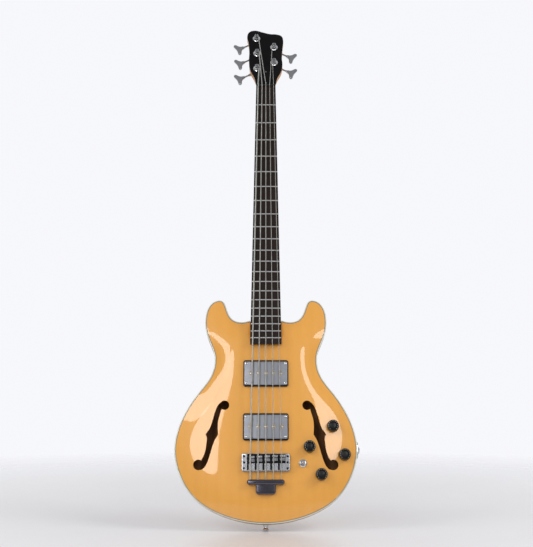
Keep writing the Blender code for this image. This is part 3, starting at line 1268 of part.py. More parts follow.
def make_button(name, location, rotation):
    """A strap button with its screw; its own z points into the wood from the outer face."""
    screw_tip = BUTTON_LENGTH + BUTTON_SCREW_LENGTH
    turned(name, "chrome", [
        (0.0, screw_tip), (BUTTON_SCREW_RADIUS, screw_tip - 1.5 * BUTTON_SCREW_RADIUS),
        (BUTTON_SCREW_RADIUS, BUTTON_LENGTH), (BUTTON_FOOT_RADIUS, BUTTON_LENGTH),
        (BUTTON_FOOT_RADIUS, BUTTON_LENGTH - 0.0012), (BUTTON_WAIST_RADIUS, BUTTON_LENGTH * 0.62),
        (BUTTON_WAIST_RADIUS, BUTTON_LENGTH * 0.40), (BUTTON_RADIUS - 0.0006, BUTTON_LENGTH * 0.18),
        (BUTTON_RADIUS, BUTTON_LENGTH * 0.10), (BUTTON_RADIUS - 0.0012, 0.0), (0.0, 0.0),
    ], location, rotation, sides=10)


make_body()
make_neck()
for machine in range(STRING_COUNT):
    make_tuner(machine)
    make_string(machine)
make_pickup("neck", NECK_PICKUP_Y)
make_pickup("bridge", BRIDGE_PICKUP_Y)
make_bridge()
make_tailpiece()
for control in range(len(KNOB_PLACES)):
    make_control(control)
make_switch()
make_jack()
make_button("end_strap_button", (0.0, 0.0, 0.0), (-pi / 2, 0.0, 0.0))
make_button("heel_strap_button", (0.0, BODY_BOTTOM + HEEL_BUTTON_Y, BACK_LEVEL - CLEARANCE - BUTTON_LENGTH),
            (0.0, 0.0, 0.0))
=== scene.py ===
"""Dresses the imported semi-hollow electric bass with fine pieces, finishes and a studio.

Every piece is laid out as on a bench: x across, y up the neck from the end of the strap button and
z towards the player. BENCH turns it upright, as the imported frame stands. All lengths are in metres.
"""

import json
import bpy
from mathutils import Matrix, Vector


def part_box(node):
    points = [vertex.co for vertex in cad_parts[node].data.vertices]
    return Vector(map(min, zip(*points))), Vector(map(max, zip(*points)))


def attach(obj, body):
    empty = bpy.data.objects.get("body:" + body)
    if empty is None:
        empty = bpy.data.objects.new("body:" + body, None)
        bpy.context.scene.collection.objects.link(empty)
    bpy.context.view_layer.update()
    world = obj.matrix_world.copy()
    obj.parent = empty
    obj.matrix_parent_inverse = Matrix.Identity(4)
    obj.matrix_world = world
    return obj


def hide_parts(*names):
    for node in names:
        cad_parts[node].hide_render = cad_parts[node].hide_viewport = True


bl_info = {
    "name": "Semi-Hollow Electric Bass",
    "version": (1, 0, 0),
    "blender": (4, 5, 0),
    "location": "3D View > Sidebar > Bass",
    "description": "Builds the fine pieces, finishes and studio of a semi-hollow five-string electric bass",
    "category": "Add Mesh",
}

from math import atan2, ceil, cos, pi, radians, sin, sqrt

import bmesh
import bpy
import numpy as np
from bpy.props import FloatProperty, FloatVectorProperty, IntProperty, PointerProperty
from bpy.types import Operator, Panel, PropertyGroup
from mathutils import Matrix, Vector
from mathutils.geometry import delaunay_2d_cdt, interpolate_bezier, tessellate_polygon

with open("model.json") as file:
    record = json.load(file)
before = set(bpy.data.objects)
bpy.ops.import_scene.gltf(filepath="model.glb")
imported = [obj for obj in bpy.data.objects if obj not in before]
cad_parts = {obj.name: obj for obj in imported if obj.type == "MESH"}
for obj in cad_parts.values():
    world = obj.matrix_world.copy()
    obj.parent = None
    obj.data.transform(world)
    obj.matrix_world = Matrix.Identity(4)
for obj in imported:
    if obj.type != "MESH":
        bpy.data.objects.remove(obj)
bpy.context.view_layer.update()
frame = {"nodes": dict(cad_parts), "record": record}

# The bench's frame, the gap between pieces, the finest rounding, the angle in degrees up to which a
# surface is shaded smooth, and the signs of four corners
BENCH = Matrix.Rotation(pi / 2, 4, "X")
STRAIGHT = Matrix.Identity(4)
CLEARANCE = 0.0003
CRISP = 0.0002
SMOOTH_UP_TO = 32.0
CORNERS = [(x, y) for x in (-1, 1) for y in (-1, 1)]

# Places and levels taken from the imported frame
BODY_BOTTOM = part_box("sides")[0].z
BODY_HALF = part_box("sides")[1].x
RIM = -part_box("top_binding")[0].y
BINDING_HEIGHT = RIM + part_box("top_binding")[1].y
TOP_LEVEL = -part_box("top_plate")[0].y
BACK_LEVEL = -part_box("back_plate")[1].y
PLATE_INSET = BODY_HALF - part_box("top_plate")[1].x
NUT_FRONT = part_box("nut")[0].z
NUT_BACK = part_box("nut")[1].z

# The headstock's face, tilted back
HEAD_FACE = 0.037
HEAD_ANGLE = radians(12.0)
HEAD = BENCH @ Matrix.Translation((0.0, NUT_BACK, HEAD_FACE)) @ Matrix.Rotation(-HEAD_ANGLE, 4, "X")

# Body outline stations above the bottom of the body: x, y, heading, reach in, reach out
OUTLINE_STATIONS = (
    (0.0, 0.0, 0.0, 0.049, 0.049),
    (BODY_HALF - 0.0480, 0.0488, 40.6, 0.050, 0.0356),
    (BODY_HALF, 0.156, 90.0, 0.038, 0.044),
    (BODY_HALF - 0.0453, 0.2717, 126.7, 0.036, 0.030),
    (0.112, 0.350, 90.0, 0.036, 0.028),
    (0.1345, 0.435, 90.0, 0.036, 0.039),
    (0.103, 0.4855, 180.0, 0.013, 0.0225),
    (0.053, 0.4355, 180.0, 0.042, 0.014),
    (0.0, 0.4455, 180.0, 0.024, 0.024),
)
FLAT_HALF = 0.057
FLAT_LOW = BODY_BOTTOM + 0.060
FLAT_HIGH = BODY_BOTTOM + 0.390
PLATE_THICKNESS = 0.0045
SIDE_THICKNESS = 0.0032
BINDING_WIDTH = 0.0032
PURFLING_WIDTH = 0.0011
ARCH_PUSH = 95.0
F_UPPER_EYE = (BODY_HALF - 0.1070, 0.2490, 0.0102)
F_LOWER_EYE = (BODY_HALF - 0.0526, 0.1221, 0.0111)

# Sawn stem of an f-hole, in runs measured from one eye or the other; True marks a sharp corner
F_STEM = (
    (F_UPPER_EYE, ((0.0, F_UPPER_EYE[2] * 0.96, True), (0.0079, 0.0066), (0.0142, 0.0), (0.0188, -0.0096),
                   (0.0222, -0.0199), (0.0254, -0.0318), (0.0284, -0.0421), (0.0320, -0.0507),
                   (0.0399, -0.0620, True), (0.0374, -0.0695))),
    (F_LOWER_EYE, ((-0.0165, 0.0454), (-0.0147, 0.0317), (-0.0112, 0.0197),
                   (F_LOWER_EYE[2] * -0.50, F_LOWER_EYE[2] * 0.82, True), (0.0, F_LOWER_EYE[2] * -0.60, True),
                   (0.0, F_LOWER_EYE[2] * -0.97, True), (-0.0075, -0.0099), (-0.0131, -0.0053),
                   (-0.0188, 0.0043), (-0.0240, 0.0197), (-0.0337, 0.0505), (-0.0413, 0.0642, True))),
    (F_UPPER_EYE, ((0.0138, -0.0541), (0.0140, -0.0438), (0.0130, -0.0318), (0.0075, -0.0123),
                   (F_UPPER_EYE[2] * 0.62, F_UPPER_EYE[2] * -0.72, True))),
)

# Holes in the body
DRILL = 0.03
JACK_HOLE = 0.0050
BUTTON_HOLE = 0.0023
KNOB_HOLE = 0.0049
SWITCH_HOLE = 0.0063
PICKUP_ROOM = 0.0016

# Neck and strings
SADDLE_LINE = BODY_BOTTOM + 0.1388
SCALE_LENGTH = 0.8636
FRET_COUNT = 21
NUT_WIDTH = 0.0455
BOARD_END_WIDTH = 0.0686
BOARD_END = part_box("fretboard")[0].z
BOARD_TOP = 0.042
BOARD_THICKNESS = 0.006
BOARD_RADIUS = 0.508
NECK_TOP = -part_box("neck")[0].y
TENON_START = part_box("neck")[0].z
HEEL_Y = BODY_BOTTOM + 0.4545
HEEL_BOTTOM = 0.010
SHAFT_BOTTOM_LOW = 0.0200
SHAFT_BOTTOM_NUT = 0.0215
ROD_SLOT_HALF = 0.0033
ROD_SLOT_FLOOR = 0.0262
ROD_SLOT_START = TENON_START + 0.012
ROD_SLOT_END = NUT_BACK + 0.024
STRING_RADII = (0.00165, 0.0013, 0.00105, 0.0008, 0.0006)
SPREAD_NUT = 0.036
SPREAD_BRIDGE = 0.0656
LEVEL_NUT = 0.0445
LEVEL_BRIDGE = 0.048
SADDLE_STEPS = (-0.0020, -0.0012, -0.0006, 0.0, 0.0008)
STRINGS = range(5)

# Headstock and tuning machines, in the plane of the headstock's face
HEAD_THICKNESS = 0.015
OVERLAY_THICKNESS = 0.0015
HEAD_SLAB_START = 0.013
HEAD_FLARE = 0.060
HEAD_EDGE = ((-0.0283, 0.0260), (-0.0370, 0.0460), (-0.0404, 0.0710), (-0.0400, 0.1050),
             (-0.0425, 0.1340), (-0.0454, 0.1490), (-0.0400, 0.1650), (-0.0270, 0.1696),
             (-0.0080, 0.1642), (0.0100, 0.1588), (0.0270, 0.1573), (0.0380, 0.152),
             (0.0417, 0.141), (0.0400, 0.112), (0.0384, 0.085), (0.0395, 0.060),
             (0.0360, 0.042), (0.0280, 0.0245))
HEAD_RINGS = ((0.1, 2.6, -0.0006), (0.3, 3.2, -0.0003), (0.5, 4.0, 0.0), (0.7, 6.0, 0.0), (0.85, 9.0, 0.0),
              (1.4, 20.0, 0.0002))
ROD_COVER = ((-0.0075, 0.0045, True), (0.0075, 0.0045, True), (0.0072, 0.020), (0.0058, 0.036),
             (0.0030, 0.0432), (-0.0030, 0.0432), (-0.0058, 0.036), (-0.0072, 0.020))
ROD_COVER_SCREWS = (0.0075, 0.0395)
PLATE_HEIGHT = 0.0016
POST_PLACES = ((-0.0209, 0.0508), (-0.0211, 0.0972), (-0.0228, 0.1432), (0.0196, 0.1159),
               (0.0195, 0.0688))
POST_HEIGHT = 0.0125
POST_RADIUS = 0.0036
POST_WAIST = 0.0030
POST_CAP = 0.0050
POST_GROOVE_HALF = 0.0009
POST_WELL_RADIUS = 0.0017
POST_WELL_DEPTH = 0.008
BUSHING_RADIUS = 0.0062
WASHER_RADIUS = 0.0090
WASHER_HEIGHT = 0.0018
CASE_RADIUS = 0.0105
CASE_HEIGHT = 0.0110
BASE_PLATE = (0.0200, 0.0340, 0.0018)
BASE_PLATE_SCREWS = (0.0078, 0.0148)
GEAR_ROUND = 0.0025
WORM_OFFSET = 0.0070
WORM_DEPTH = 0.0062
KEY_SLOPE = radians(28.0)
KEY_REACH = 0.0415
KEY_SHAFT_RADIUS = 0.0020
KEY_HALF_THICKNESS = 0.00325
KEY_LOBE = ((-0.0098, 0.0030), (-0.0046, 0.0048), (0.0006, 0.0094), (0.0034, 0.0142), (0.0078, 0.0163),
            (0.0110, 0.0138), (0.0107, 0.0085), (0.0098, 0.0034))
WRAP_LEVEL = 0.0092
STRING_TURNS = 1.6

# Pickups, bridge, tailpiece and controls
PICKUPS = {"neck": (BODY_BOTTOM + 0.318, 0.0159), "bridge": (BODY_BOTTOM + 0.202, 0.0170)}
PICKUP_SIZE = (0.0945, 0.052)
PICKUP_CORNER = 0.0035
PICKUP_HEIGHT = 0.020
PICKUP_TOP = TOP_LEVEL + 0.006
RING_SIZE = (0.0976, 0.058)
RING_HEIGHT = 0.0032
RING_CORNER = 0.0045
RING_ROOM = 0.001
COVER_SCREW_MARGIN = 0.0045
POLE_RADIUS = 0.0026
BRIDGE_SIZE = (0.103, 0.0377, 0.0068)
BRIDGE_MIDDLE = SADDLE_LINE - 0.0124
BRIDGE_CORNER = 0.004
BRIDGE_FLOOR = 0.0016
TRAY_LENGTH = 0.0196
SLIT_SIZE = (0.0040, 0.0165, 0.0019)
BOLT_ROW = 0.34
BOLT_WELL = (0.0024, -0.0045)
BOLT_SINK = 0.0042
SADDLE_WIDTH = 0.0112
SADDLE_SHIFT = 0.0031
SADDLE_BACK = -0.0095
SADDLE_FRONT = 0.0022
SADDLE_RISE = 0.0012
SADDLE_SCREW_BACK = 0.0072
SADDLE_SCREW_SHARES = (0.22, 0.78)
TAIL_Y = BODY_BOTTOM + 0.0850
TAIL_EXIT_Y = BODY_BOTTOM + 0.0915
TAIL_STRING_LEVEL = 0.040
TAIL_BAR = (0.0790, 0.0110, 0.0045)
TAIL_BAR_TOP = 0.0125
TAIL_TONGUE = (0.0420, 0.0290, 0.0060)
TAIL_TONGUE_TOP = 0.0095
TAIL_TONGUE_SHIFT = 0.0110
KNOBS = tuple(((low.x + high.x) / 2, (low.z + high.z) / 2)
              for low, high in (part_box(f"knob_{number}") for number in range(1, 5)))
KNOB_RADIUS = 0.0121
KNOB_SKIRT = 0.0145
FLUTE_DEPTH = 0.022
DOT_RING = KNOB_RADIUS - 0.0022
DOT_RADIUS = 0.00065
SWITCH = (BODY_HALF - 0.1171, BODY_BOTTOM + 0.1251)
SWITCH_NUT_HEIGHT = 0.0045
SWITCH_BALL = 0.0026
JACK_Y = BODY_BOTTOM + 0.156
JACK_PLATE = (0.026, 0.036, 0.0085)
JACK_BORE = 0.0053
JACK_SCREWS = (0.0085, 0.0135)
HEEL_BUTTON_Y = BODY_BOTTOM + 0.375
BUTTON_LENGTH = 0.0115

# Screw heads: radius and height
SMALL_SCREW = (0.0016, 0.0008)
MACHINE_SCREW = (0.0014, 0.0008)
GEAR_SCREW = (0.0028, 0.0009)
COVER_SCREW = (0.0032, 0.0011)
BUTTON_SCREW = (0.0027, 0.0009)
BRIDGE_BOLT = (0.0021, 0.0009)
SADDLE_BOLT = (0.0013, 0.0011)

# Studio: the camera, and each lamp's name, share of power or size, place and roll in degrees
CAMERA_PLACE = (0.0015, -2.22301, -0.09238)
CAMERA_TILT = radians(106.5)
SENSOR_WIDTH = 36.0
LAMP_TARGET = Vector((0.0, 0.0, 0.25))
WINDOW_LAMPS = (("left_window", (0.58, 0.78), (-0.625, -2.40, 0.568), 4.0),
                ("left_skylight", (0.40, 0.92), (-1.178, -2.40, 1.177), 58.0),
                ("right_window", (0.385, 0.83), (0.758, -2.40, 0.648), -21.0))
SOFT_LAMPS = (("left_soft", 0.8, (-2.1, -1.3, 1.5)), ("right_soft", 1.2, (2.1, -1.3, 1.6)))
SOFT_SIZE = (1.4, 1.6)
FLOOR_REACH = 7.0
FLOOR_DROP = 0.0014
FLOOR_FADE = (0.35, 2.2)


def colour_property(name, description, default):
    """A colour that a user may pick."""
    return FloatVectorProperty(name=name, description=description, subtype="COLOR", size=3, min=0.0, max=1.0,
                               default=default)


def length_property(name, description, default):
    """A length that a user may set."""
    return FloatProperty(name=name, description=description, subtype="DISTANCE", unit="LENGTH", min=0.0,
                         precision=5, default=default)


class BassColours(PropertyGroup):
    """Colours of the bass's finishes"""

    gold_light: colour_property("Gold, light", "Light tone of the body's lacquer", (0.82, 0.400, 0.076))
    gold_deep: colour_property("Gold, deep", "Deep tone of the body's lacquer", (0.70, 0.300, 0.044))
    maple_light: colour_property("Maple, light", "Light tone of neck and sides", (0.62, 0.31, 0.105))
    maple_deep: colour_property("Maple, deep", "Grain lines of neck and sides", (0.38, 0.16, 0.045))
    # The wood inside is coloured darker than bare wood: painted shade for the inside of the hollow body, the
    # plates' undersides and their cut edges
    bare_light: colour_property("Bare wood, light", "Light tone of the wood inside", (0.36, 0.17, 0.07))
    bare_deep: colour_property("Bare wood, deep", "Grain lines of the wood inside", (0.20, 0.09, 0.036))
    board_light: colour_property("Fretboard, light", "Light streaks of the fretboard", (0.030, 0.020, 0.017))
    board_deep: colour_property("Fretboard, deep", "Dark ground of the fretboard", (0.008, 0.006, 0.005))
    binding: colour_property("Binding", "Cream plastic round the body", (0.60, 0.61, 0.50))
    black: colour_property("Black", "Black lacquer and plastic", (0.004, 0.004, 0.0045))
    cover: colour_property("Pickup covers", "Brushed metal of the pickup covers", (0.325, 0.335, 0.37))
    satin: colour_property("Satin chrome", "Tuning machines and bridge", (0.50, 0.51, 0.53))
    chrome: colour_property("Chrome", "Polished small parts", (0.80, 0.81, 0.83))
    smoked: colour_property("Smoked chrome", "Tailpiece", (0.15, 0.14, 0.17))
    brass: colour_property("Brass", "Rings round the pickup poles", (0.62, 0.44, 0.20))
    strings: colour_property("Strings", "Round-wound steel", (0.76, 0.77, 0.71))


class BassDetails(PropertyGroup):
    """Sizes of the bass's fine details"""

    facet: FloatProperty(name="Outline facet", description="Turning of the body outline per facet",
                         subtype="ANGLE", min=radians(1.0), max=radians(12.0), default=radians(3.0))
    spacing: length_property("Plate spacing", "Distance between the points of the arched plates", 0.0085)
    binding_round: length_property("Binding rounding", "Rounding of the binding's outer edge", 0.0013)
    fret_width: length_property("Fret width", "Width of a fret's crown", 0.0026)
    fret_height: length_property("Fret height", "Height of a fret above the board", 0.0012)
    cover_round: length_property("Cover rounding", "Rounding of a pickup cover's upper edge", 0.0011)
    winding: length_property("Winding pitch", "Distance between the turns of a string's winding", 0.0009)
    flutes: IntProperty(name="Knob flutes", description="Flutes round a knob", min=8, max=60, default=30)
    dots: IntProperty(name="Knob dots", description="Pale dots on a knob", min=0, max=24, default=11)


class BassStudio(PropertyGroup):
    """Camera, lamps and floor"""

    lens: FloatProperty(name="Lens", description="Focal length of the camera", subtype="DISTANCE_CAMERA",
                        min=1.0, default=67.2)
    lean: FloatProperty(name="Lean", description="How far the bass leans back from the floor's upright",
                        subtype="ANGLE", default=radians(11.0))
    window_power: FloatProperty(name="Window lamps", min=0.0, default=15.0,
                                description="Watts per square metre of the mirrored lamps")
    soft_power: FloatProperty(name="Soft lamps", description="Power of the broad lamps at the sides",
                              unit="POWER", min=0.0, default=26.0)
    room: FloatProperty(name="Room light", description="Strength of the even light all round", min=0.0,
                        default=0.45)
    floor: colour_property("Floor", "Colour of the floor", (0.77, 0.755, 0.755))
    backdrop: colour_property("Backdrop", "Colour behind the bass", (0.93, 0.935, 0.97))


# Mesh tools


def smoothed(mesh, angle):
    """Shades a mesh smooth up to an angle in degrees."""
    mesh.shade_smooth()
    mesh.set_sharp_from_angle(angle=radians(angle))


def finished(bm, matrix=BENCH, angle=SMOOTH_UP_TO):
    """The bmesh as a smooth mesh with its sharp edges kept, turned into place."""
    bmesh.ops.recalc_face_normals(bm, faces=bm.faces)
    mesh = bpy.data.meshes.new("shape")
    bm.to_mesh(mesh)
    bm.free()
    mesh.transform(matrix)
    smoothed(mesh, angle)
    return mesh


def joined(*meshes):
    """Several meshes as one, each of them closed."""
    bm = bmesh.new()
    for mesh in meshes:
        bm.from_mesh(mesh)
        bpy.data.meshes.remove(mesh)
    return finished(bm, STRAIGHT)


def copies(mesh, *matrices):
    """One mesh with a copy of the given one at each place."""
    made = [mesh.copy() for matrix in matrices]
    for copy, matrix in zip(made, matrices):
        copy.transform(matrix)
    bpy.data.meshes.remove(mesh)
    return joined(*made)


def carved(mesh, operation, *tools, rounding=0.0, angle=SMOOTH_UP_TO):
    """The mesh after the tools are cut from it or joined to it, its edges then rounded if asked."""
    scene = bpy.context.scene
    work = bpy.data.objects.new("work", mesh)
    scene.collection.objects.link(work)
    helpers = []
    for tool in tools:
        helper = bpy.data.objects.new("tool", tool)
        scene.collection.objects.link(helper)
        helpers.append(helper)
        step = work.modifiers.new("carve", "BOOLEAN")
        step.operation = operation
        step.object = helper
    if rounding:
        step = work.modifiers.new("round", "BEVEL")
        step.width = rounding
        step.segments = 3
        step.angle_limit = radians(40.0)
    result = evaluated(work)
    for item in (work, *helpers):
        data = item.data
        bpy.data.objects.remove(item)
        bpy.data.meshes.remove(data)
    if not result.polygons:
        raise RuntimeError("nothing is left of a carved mesh")
    smoothed(result, angle)
    return result


def evaluated(item):
    """The mesh of an object once its curve or modifiers are worked out."""
    bpy.context.view_layer.update()
    return bpy.data.meshes.new_from_object(item.evaluated_get(bpy.context.evaluated_depsgraph_get()))


def block(low, high, matrix=BENCH):
    """A box between two corners, as a cutter."""
    low, high = Vector(low), Vector(high)
    bm = bmesh.new()
    bmesh.ops.create_cube(bm, size=1.0, matrix=Matrix.Translation((low + high) / 2) @
                          Matrix.Diagonal((*(high - low), 1.0)))
    return finished(bm, matrix)


def turned(profile, matrix=BENCH, steps=32, swell=None, angle=SMOOTH_UP_TO):
    """A profile, (radius, height) from the axis at one end to the axis at the other, spun round z."""
    bm = bmesh.new()
    rings = []
    for radius, height in profile:
        if radius < 1e-6:
            rings.append([bm.verts.new((0.0, 0.0, height))])
            continue
        ring = []
        for i in range(steps):
            turn = 2 * pi * i / steps
            reach = radius * (swell(turn, height) if swell else 1.0)
            ring.append(bm.verts.new((reach * cos(turn), reach * sin(turn), height)))
        rings.append(ring)
    for upper, lower in zip(rings, rings[1:]):
        for i in range(steps):
            j = (i + 1) % steps
            corners = [ring[k % len(ring)] for ring, k in ((upper, i), (upper, j), (lower, j), (lower, i))]
            bm.faces.new(list(dict.fromkeys(corners)))
    return finished(bm, matrix, angle)


def softened(points, radius, steps=3, most=0.45):
    """The points with each inner corner replaced by a short round, of at most a share of its sides."""
    points = [Vector(point) for point in points]
    out = [points[0]]
    for before, here, after in zip(points, points[1:], points[2:]):
        back, on = before - here, after - here
        reach = min(radius, back.length * most, on.length * most)
        start, end = here + back.normalized() * reach, here + on.normalized() * reach
        for step in range(steps + 1):
            share = step / steps
            out.append(start.lerp(here, share).lerp(here.lerp(end, share), share))
    return [*out, points[-1]]


def rod(radius, high, low, matrix=STRAIGHT, steps=32, rounding=0.0):
    """A round bar about z between two heights, its edges rounded if asked."""
    profile = [(0.0, high), (radius, high), (radius, low), (0.0, low)]
    return turned(softened(profile, rounding) if rounding else profile, matrix, steps)


def turned_ring(profile, matrix, steps=40):
    """A closed profile that keeps clear of the axis, spun round z."""
    rings = []
    for i in range(steps):
        turn = 2 * pi * i / steps
        rings.append([(radius * cos(turn), radius * sin(turn), height) for radius, height in profile])
    return lofted(rings, matrix, closed=True)


def lofted(rings, matrix=BENCH, closed=False, angle=SMOOTH_UP_TO):
    """A skin over rings of points, capped at both ends unless the last ring meets the first."""
    bm = bmesh.new()
    made = [[bm.verts.new(point) for point in ring] for ring in rings]
    pairs = list(zip(made, made[1:]))
    if closed:
        pairs.append((made[-1], made[0]))
    else:
        bm.faces.new(made[0])
        bm.faces.new(made[-1])
    for lower, upper in pairs:
        for i in range(len(lower)):
            j = (i + 1) % len(lower)
            bm.faces.new((lower[i], lower[j], upper[j], upper[i]))
    return finished(bm, matrix, angle)


def signed_area(loop):
    """Twice the area inside a loop, positive when it runs counterclockwise."""
    return sum(a.x * b.y - b.x * a.y for a, b in zip(loop, loop[1:] + loop[:1]))


def wound(loop, counterclockwise=True):
    """The loop as 2-D points in the direction wanted."""
    loop = [Vector(point[:2]) for point in loop]
    if (signed_area(loop) > 0) != counterclockwise:
        loop.reverse()
    return loop


def inset(loop, distance):
    """A counterclockwise loop moved inwards, or a clockwise one outwards."""
    moved = []
    count = len(loop)
    for i, point in enumerate(loop):
        before = (point - loop[i - 1]).normalized()
        after = (loop[(i + 1) % count] - point).normalized()
        inward = (Vector((-before.y, before.x)) + Vector((-after.y, after.x))).normalized()
        stretch = max(0.5, inward.dot(Vector((-after.y, after.x))))
        moved.append(point + inward * distance / stretch)
    return moved


def circle(x, y, radius, steps=20):
    """A counterclockwise circle."""
    return [Vector((x + radius * cos(2 * pi * i / steps), y + radius * sin(2 * pi * i / steps)))
            for i in range(steps)]


def rectangle(width, length, corner, centre=(0.0, 0.0), steps=5):
    """A counterclockwise rectangle with round corners."""
    points = []
    for turn, (sx, sy) in enumerate(((1, 1), (-1, 1), (-1, -1), (1, -1))):
        middle = Vector((centre[0] + sx * (width / 2 - corner), centre[1] + sy * (length / 2 - corner)))
        for step in range(steps + 1):
            angle = (turn + step / steps) * pi / 2
            points.append(middle + corner * Vector((cos(angle), sin(angle))))
    return points


def drawn(points, resolution=6):
    """The smooth curve round the points, sharp at each (x, y, True), as a counterclockwise loop."""
    curve = bpy.data.curves.new("drawn", "CURVE")
    curve.dimensions = "2D"
    curve.fill_mode = "NONE"
    curve.resolution_u = resolution
    spline = curve.splines.new("BEZIER")
    spline.bezier_points.add(len(points) - 1)
    for target, (x, y, *sharp) in zip(spline.bezier_points, points):
        target.co = (x, y, 0.0)
        target.handle_left_type = target.handle_right_type = "VECTOR" if sharp else "AUTO"
    spline.use_cyclic_u = True
    holder = bpy.data.objects.new("drawn", curve)
    bpy.context.scene.collection.objects.link(holder)
    mesh = evaluated(holder)
    loop = [vert.co.to_2d() for vert in mesh.vertices]
    bpy.data.objects.remove(holder)
    bpy.data.curves.remove(curve)
    bpy.data.meshes.remove(mesh)
    return wound([point for i, point in enumerate(loop) if (point - loop[i - 1]).length > 1e-5])


def quarter_angles(steps, first=0):
    """Angles at even steps of a quarter turn."""
    return [step / steps * pi / 2 for step in range(first, steps + 1)]


def rounded_edges(low, high, lower_round, upper_round, steps=4):
    """Places, (inset, level), up the side of a flat piece whose lower and upper edges are rounded."""
    turns = quarter_angles(steps)
    return [*((lower_round * (1 - sin(turn)), low + lower_round * (1 - cos(turn)))
              for turn in (turns if lower_round else turns[:1])),
            *((upper_round * (1 - cos(turn)), high - upper_round * (1 - sin(turn)))
              for turn in (turns if upper_round else turns[:1]))]


def slab(loops, low, high, upper_round=0.0, lower_round=0.0, matrix=BENCH, steps=4, angle=SMOOTH_UP_TO):
    """A flat piece with an outline and holes, its upper and lower edges rounded."""
    levels = rounded_edges(low, high, lower_round, upper_round, steps)
    bm = bmesh.new()
    first, last = [], []
    for loop in [wound(loop, i == 0) for i, loop in enumerate(loops)]:
        rings = [[bm.verts.new((*point, level)) for point in inset(loop, away)] for away, level in levels]
        for lower, upper in zip(rings, rings[1:]):
            for i in range(len(lower)):
                bm.faces.new((lower[i - 1], lower[i], upper[i], upper[i - 1]))
        first.append(rings[0])
        last.append(rings[-1])
    for ends in (first, last):
        flat = [vert for ring in ends for vert in ring]
        for corners in tessellate_polygon([[vert.co for vert in ring] for ring in ends]):
            face = [flat[i] for i in corners]
            if not bm.faces.get(face):
                bm.faces.new(face)
    return finished(bm, matrix, angle)


def tube(path, radius, sides=12):
    """A round rod along a path, with the length run so far kept on every point."""
    bm = bmesh.new()
    run = bm.verts.layers.float.new("run")
    side = None
    rings = []
    length = 0.0
    for i, point in enumerate(path):
        along = (path[min(i + 1, len(path) - 1)] - path[max(i - 1, 0)]).normalized()
        side = along.orthogonal() if side is None else side - along * side.dot(along)
        side.normalize()
        other = along.cross(side)
        length += (point - path[i - 1]).length if i else 0.0
        ring = []
        for k in range(sides):
            turn = 2 * pi * k / sides
            vert = bm.verts.new(point + radius * (side * cos(turn) + other * sin(turn)))
            vert[run] = length
            ring.append(vert)
        rings.append(ring)
    for lower, upper in zip(rings, rings[1:]):
        for k in range(sides):
            bm.faces.new((lower[k - 1], lower[k], upper[k], upper[k - 1]))
    bm.faces.new(rings[0])
    bm.faces.new(rings[-1])
    return finished(bm, angle=60.0)


def screw_head(radius, height):
    """A domed head with a cross cut into it, its seat at z 0."""
    profile = [(0.0, height)]
    profile += [(radius * sin(turn), height * (0.35 + 0.65 * cos(turn))) for turn in quarter_angles(5, 1)]
    profile += [(radius, 0.0), (radius * 0.5, -height * 0.6), (0.0, -height * 0.6)]
    width, reach, bottom = radius * 0.13, radius * 0.58, height * 0.45
    cross = [block((-x, -y, bottom), (x, y, 2 * height), STRAIGHT)
             for x, y in ((width, reach), (reach, width))]
    return carved(turned(profile, STRAIGHT, 20), "DIFFERENCE", *cross)


def socket_screw(radius, height):
    """A small cylinder screw with a six-sided socket."""
    socket = rod(radius * 0.55, 2 * height, height * 0.2, steps=6)
    return carved(rod(radius, height, -height, steps=20, rounding=0.0002), "DIFFERENCE", socket)


def quarter(axis, turns=1):
    """A quarter turn about an axis, or several."""
    return Matrix.Rotation(turns * pi / 2, 4, axis)


def spot(x, y, z=0.0, turn=0.0):
    """A place on the bench, turned about z."""
    return BENCH @ Matrix.Translation((x, y, z)) @ Matrix.Rotation(turn, 4, "Z")


def add_piece(name, mesh, body, kind, *nodes, extra=()):
    """Links a finished mesh as a piece that moves with its body and stands for the given nodes."""
    mesh.name = name
    places = [face.material_index for face in mesh.polygons]
    mesh.materials.clear()
    for each in (kind, *extra):
        mesh.materials.append(finish(each))
    mesh.polygons.foreach_set("material_index", places if extra else [0] * len(places))
    piece = bpy.data.objects.new(name, mesh)
    bpy.context.scene.collection.objects.link(piece)
    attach(piece, body)
    if nodes:
        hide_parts(*nodes)


# Shader node groups


def node(tree, kind, inputs=None, **settings):
    """A node with its settings, and its inputs linked or set."""
    made = tree.nodes.new(kind)
    for key, value in settings.items():
        setattr(made, key, value)
    for key, value in (inputs or {}).items():
        if isinstance(value, bpy.types.NodeSocket):
            tree.links.new(value, made.inputs[key])
        else:
            made.inputs[key].default_value = value
    return made


def maths(tree, operation, first, second=0.0):
    """The result of one sum."""
    return node(tree, "ShaderNodeMath", {0: first, 1: second}, operation=operation).outputs[0]


def remap(tree, value, low, high, to_low, to_high):
    """A value moved from one span to another, held at its ends."""
    spans = {"Value": value, "From Min": low, "From Max": high, "To Min": to_low, "To Max": to_high}
    return node(tree, "ShaderNodeMapRange", spans).outputs["Result"]


def effect(name, inputs, outputs):
    """An empty node group with named sockets, its given values and its results."""
    group = bpy.data.node_groups.new(name, "ShaderNodeTree")
    for label, default in inputs.items():
        kind = "NodeSocketVector" if isinstance(default, tuple) else "NodeSocketFloat"
        group.interface.new_socket(name=label, in_out="INPUT", socket_type=kind).default_value = default
    for label in outputs:
        group.interface.new_socket(name=label, in_out="OUTPUT", socket_type="NodeSocketFloat")
    return group, node(group, "NodeGroupInput").outputs, node(group, "NodeGroupOutput").inputs


def stretched(tree, position, stretch):
    """The position with each axis multiplied."""
    return node(tree, "ShaderNodeVectorMath", {0: position, 1: stretch}, operation="MULTIPLY").outputs[0]


def noise(tree, position, scale, detail=3.0, roughness=0.5, distortion=0.0):
    """Smooth noise from 0 to 1."""
    given = {"Vector": position, "Scale": scale, "Detail": detail, "Roughness": roughness,
             "Distortion": distortion}
    return node(tree, "ShaderNodeTexNoise", given).outputs["Fac"]


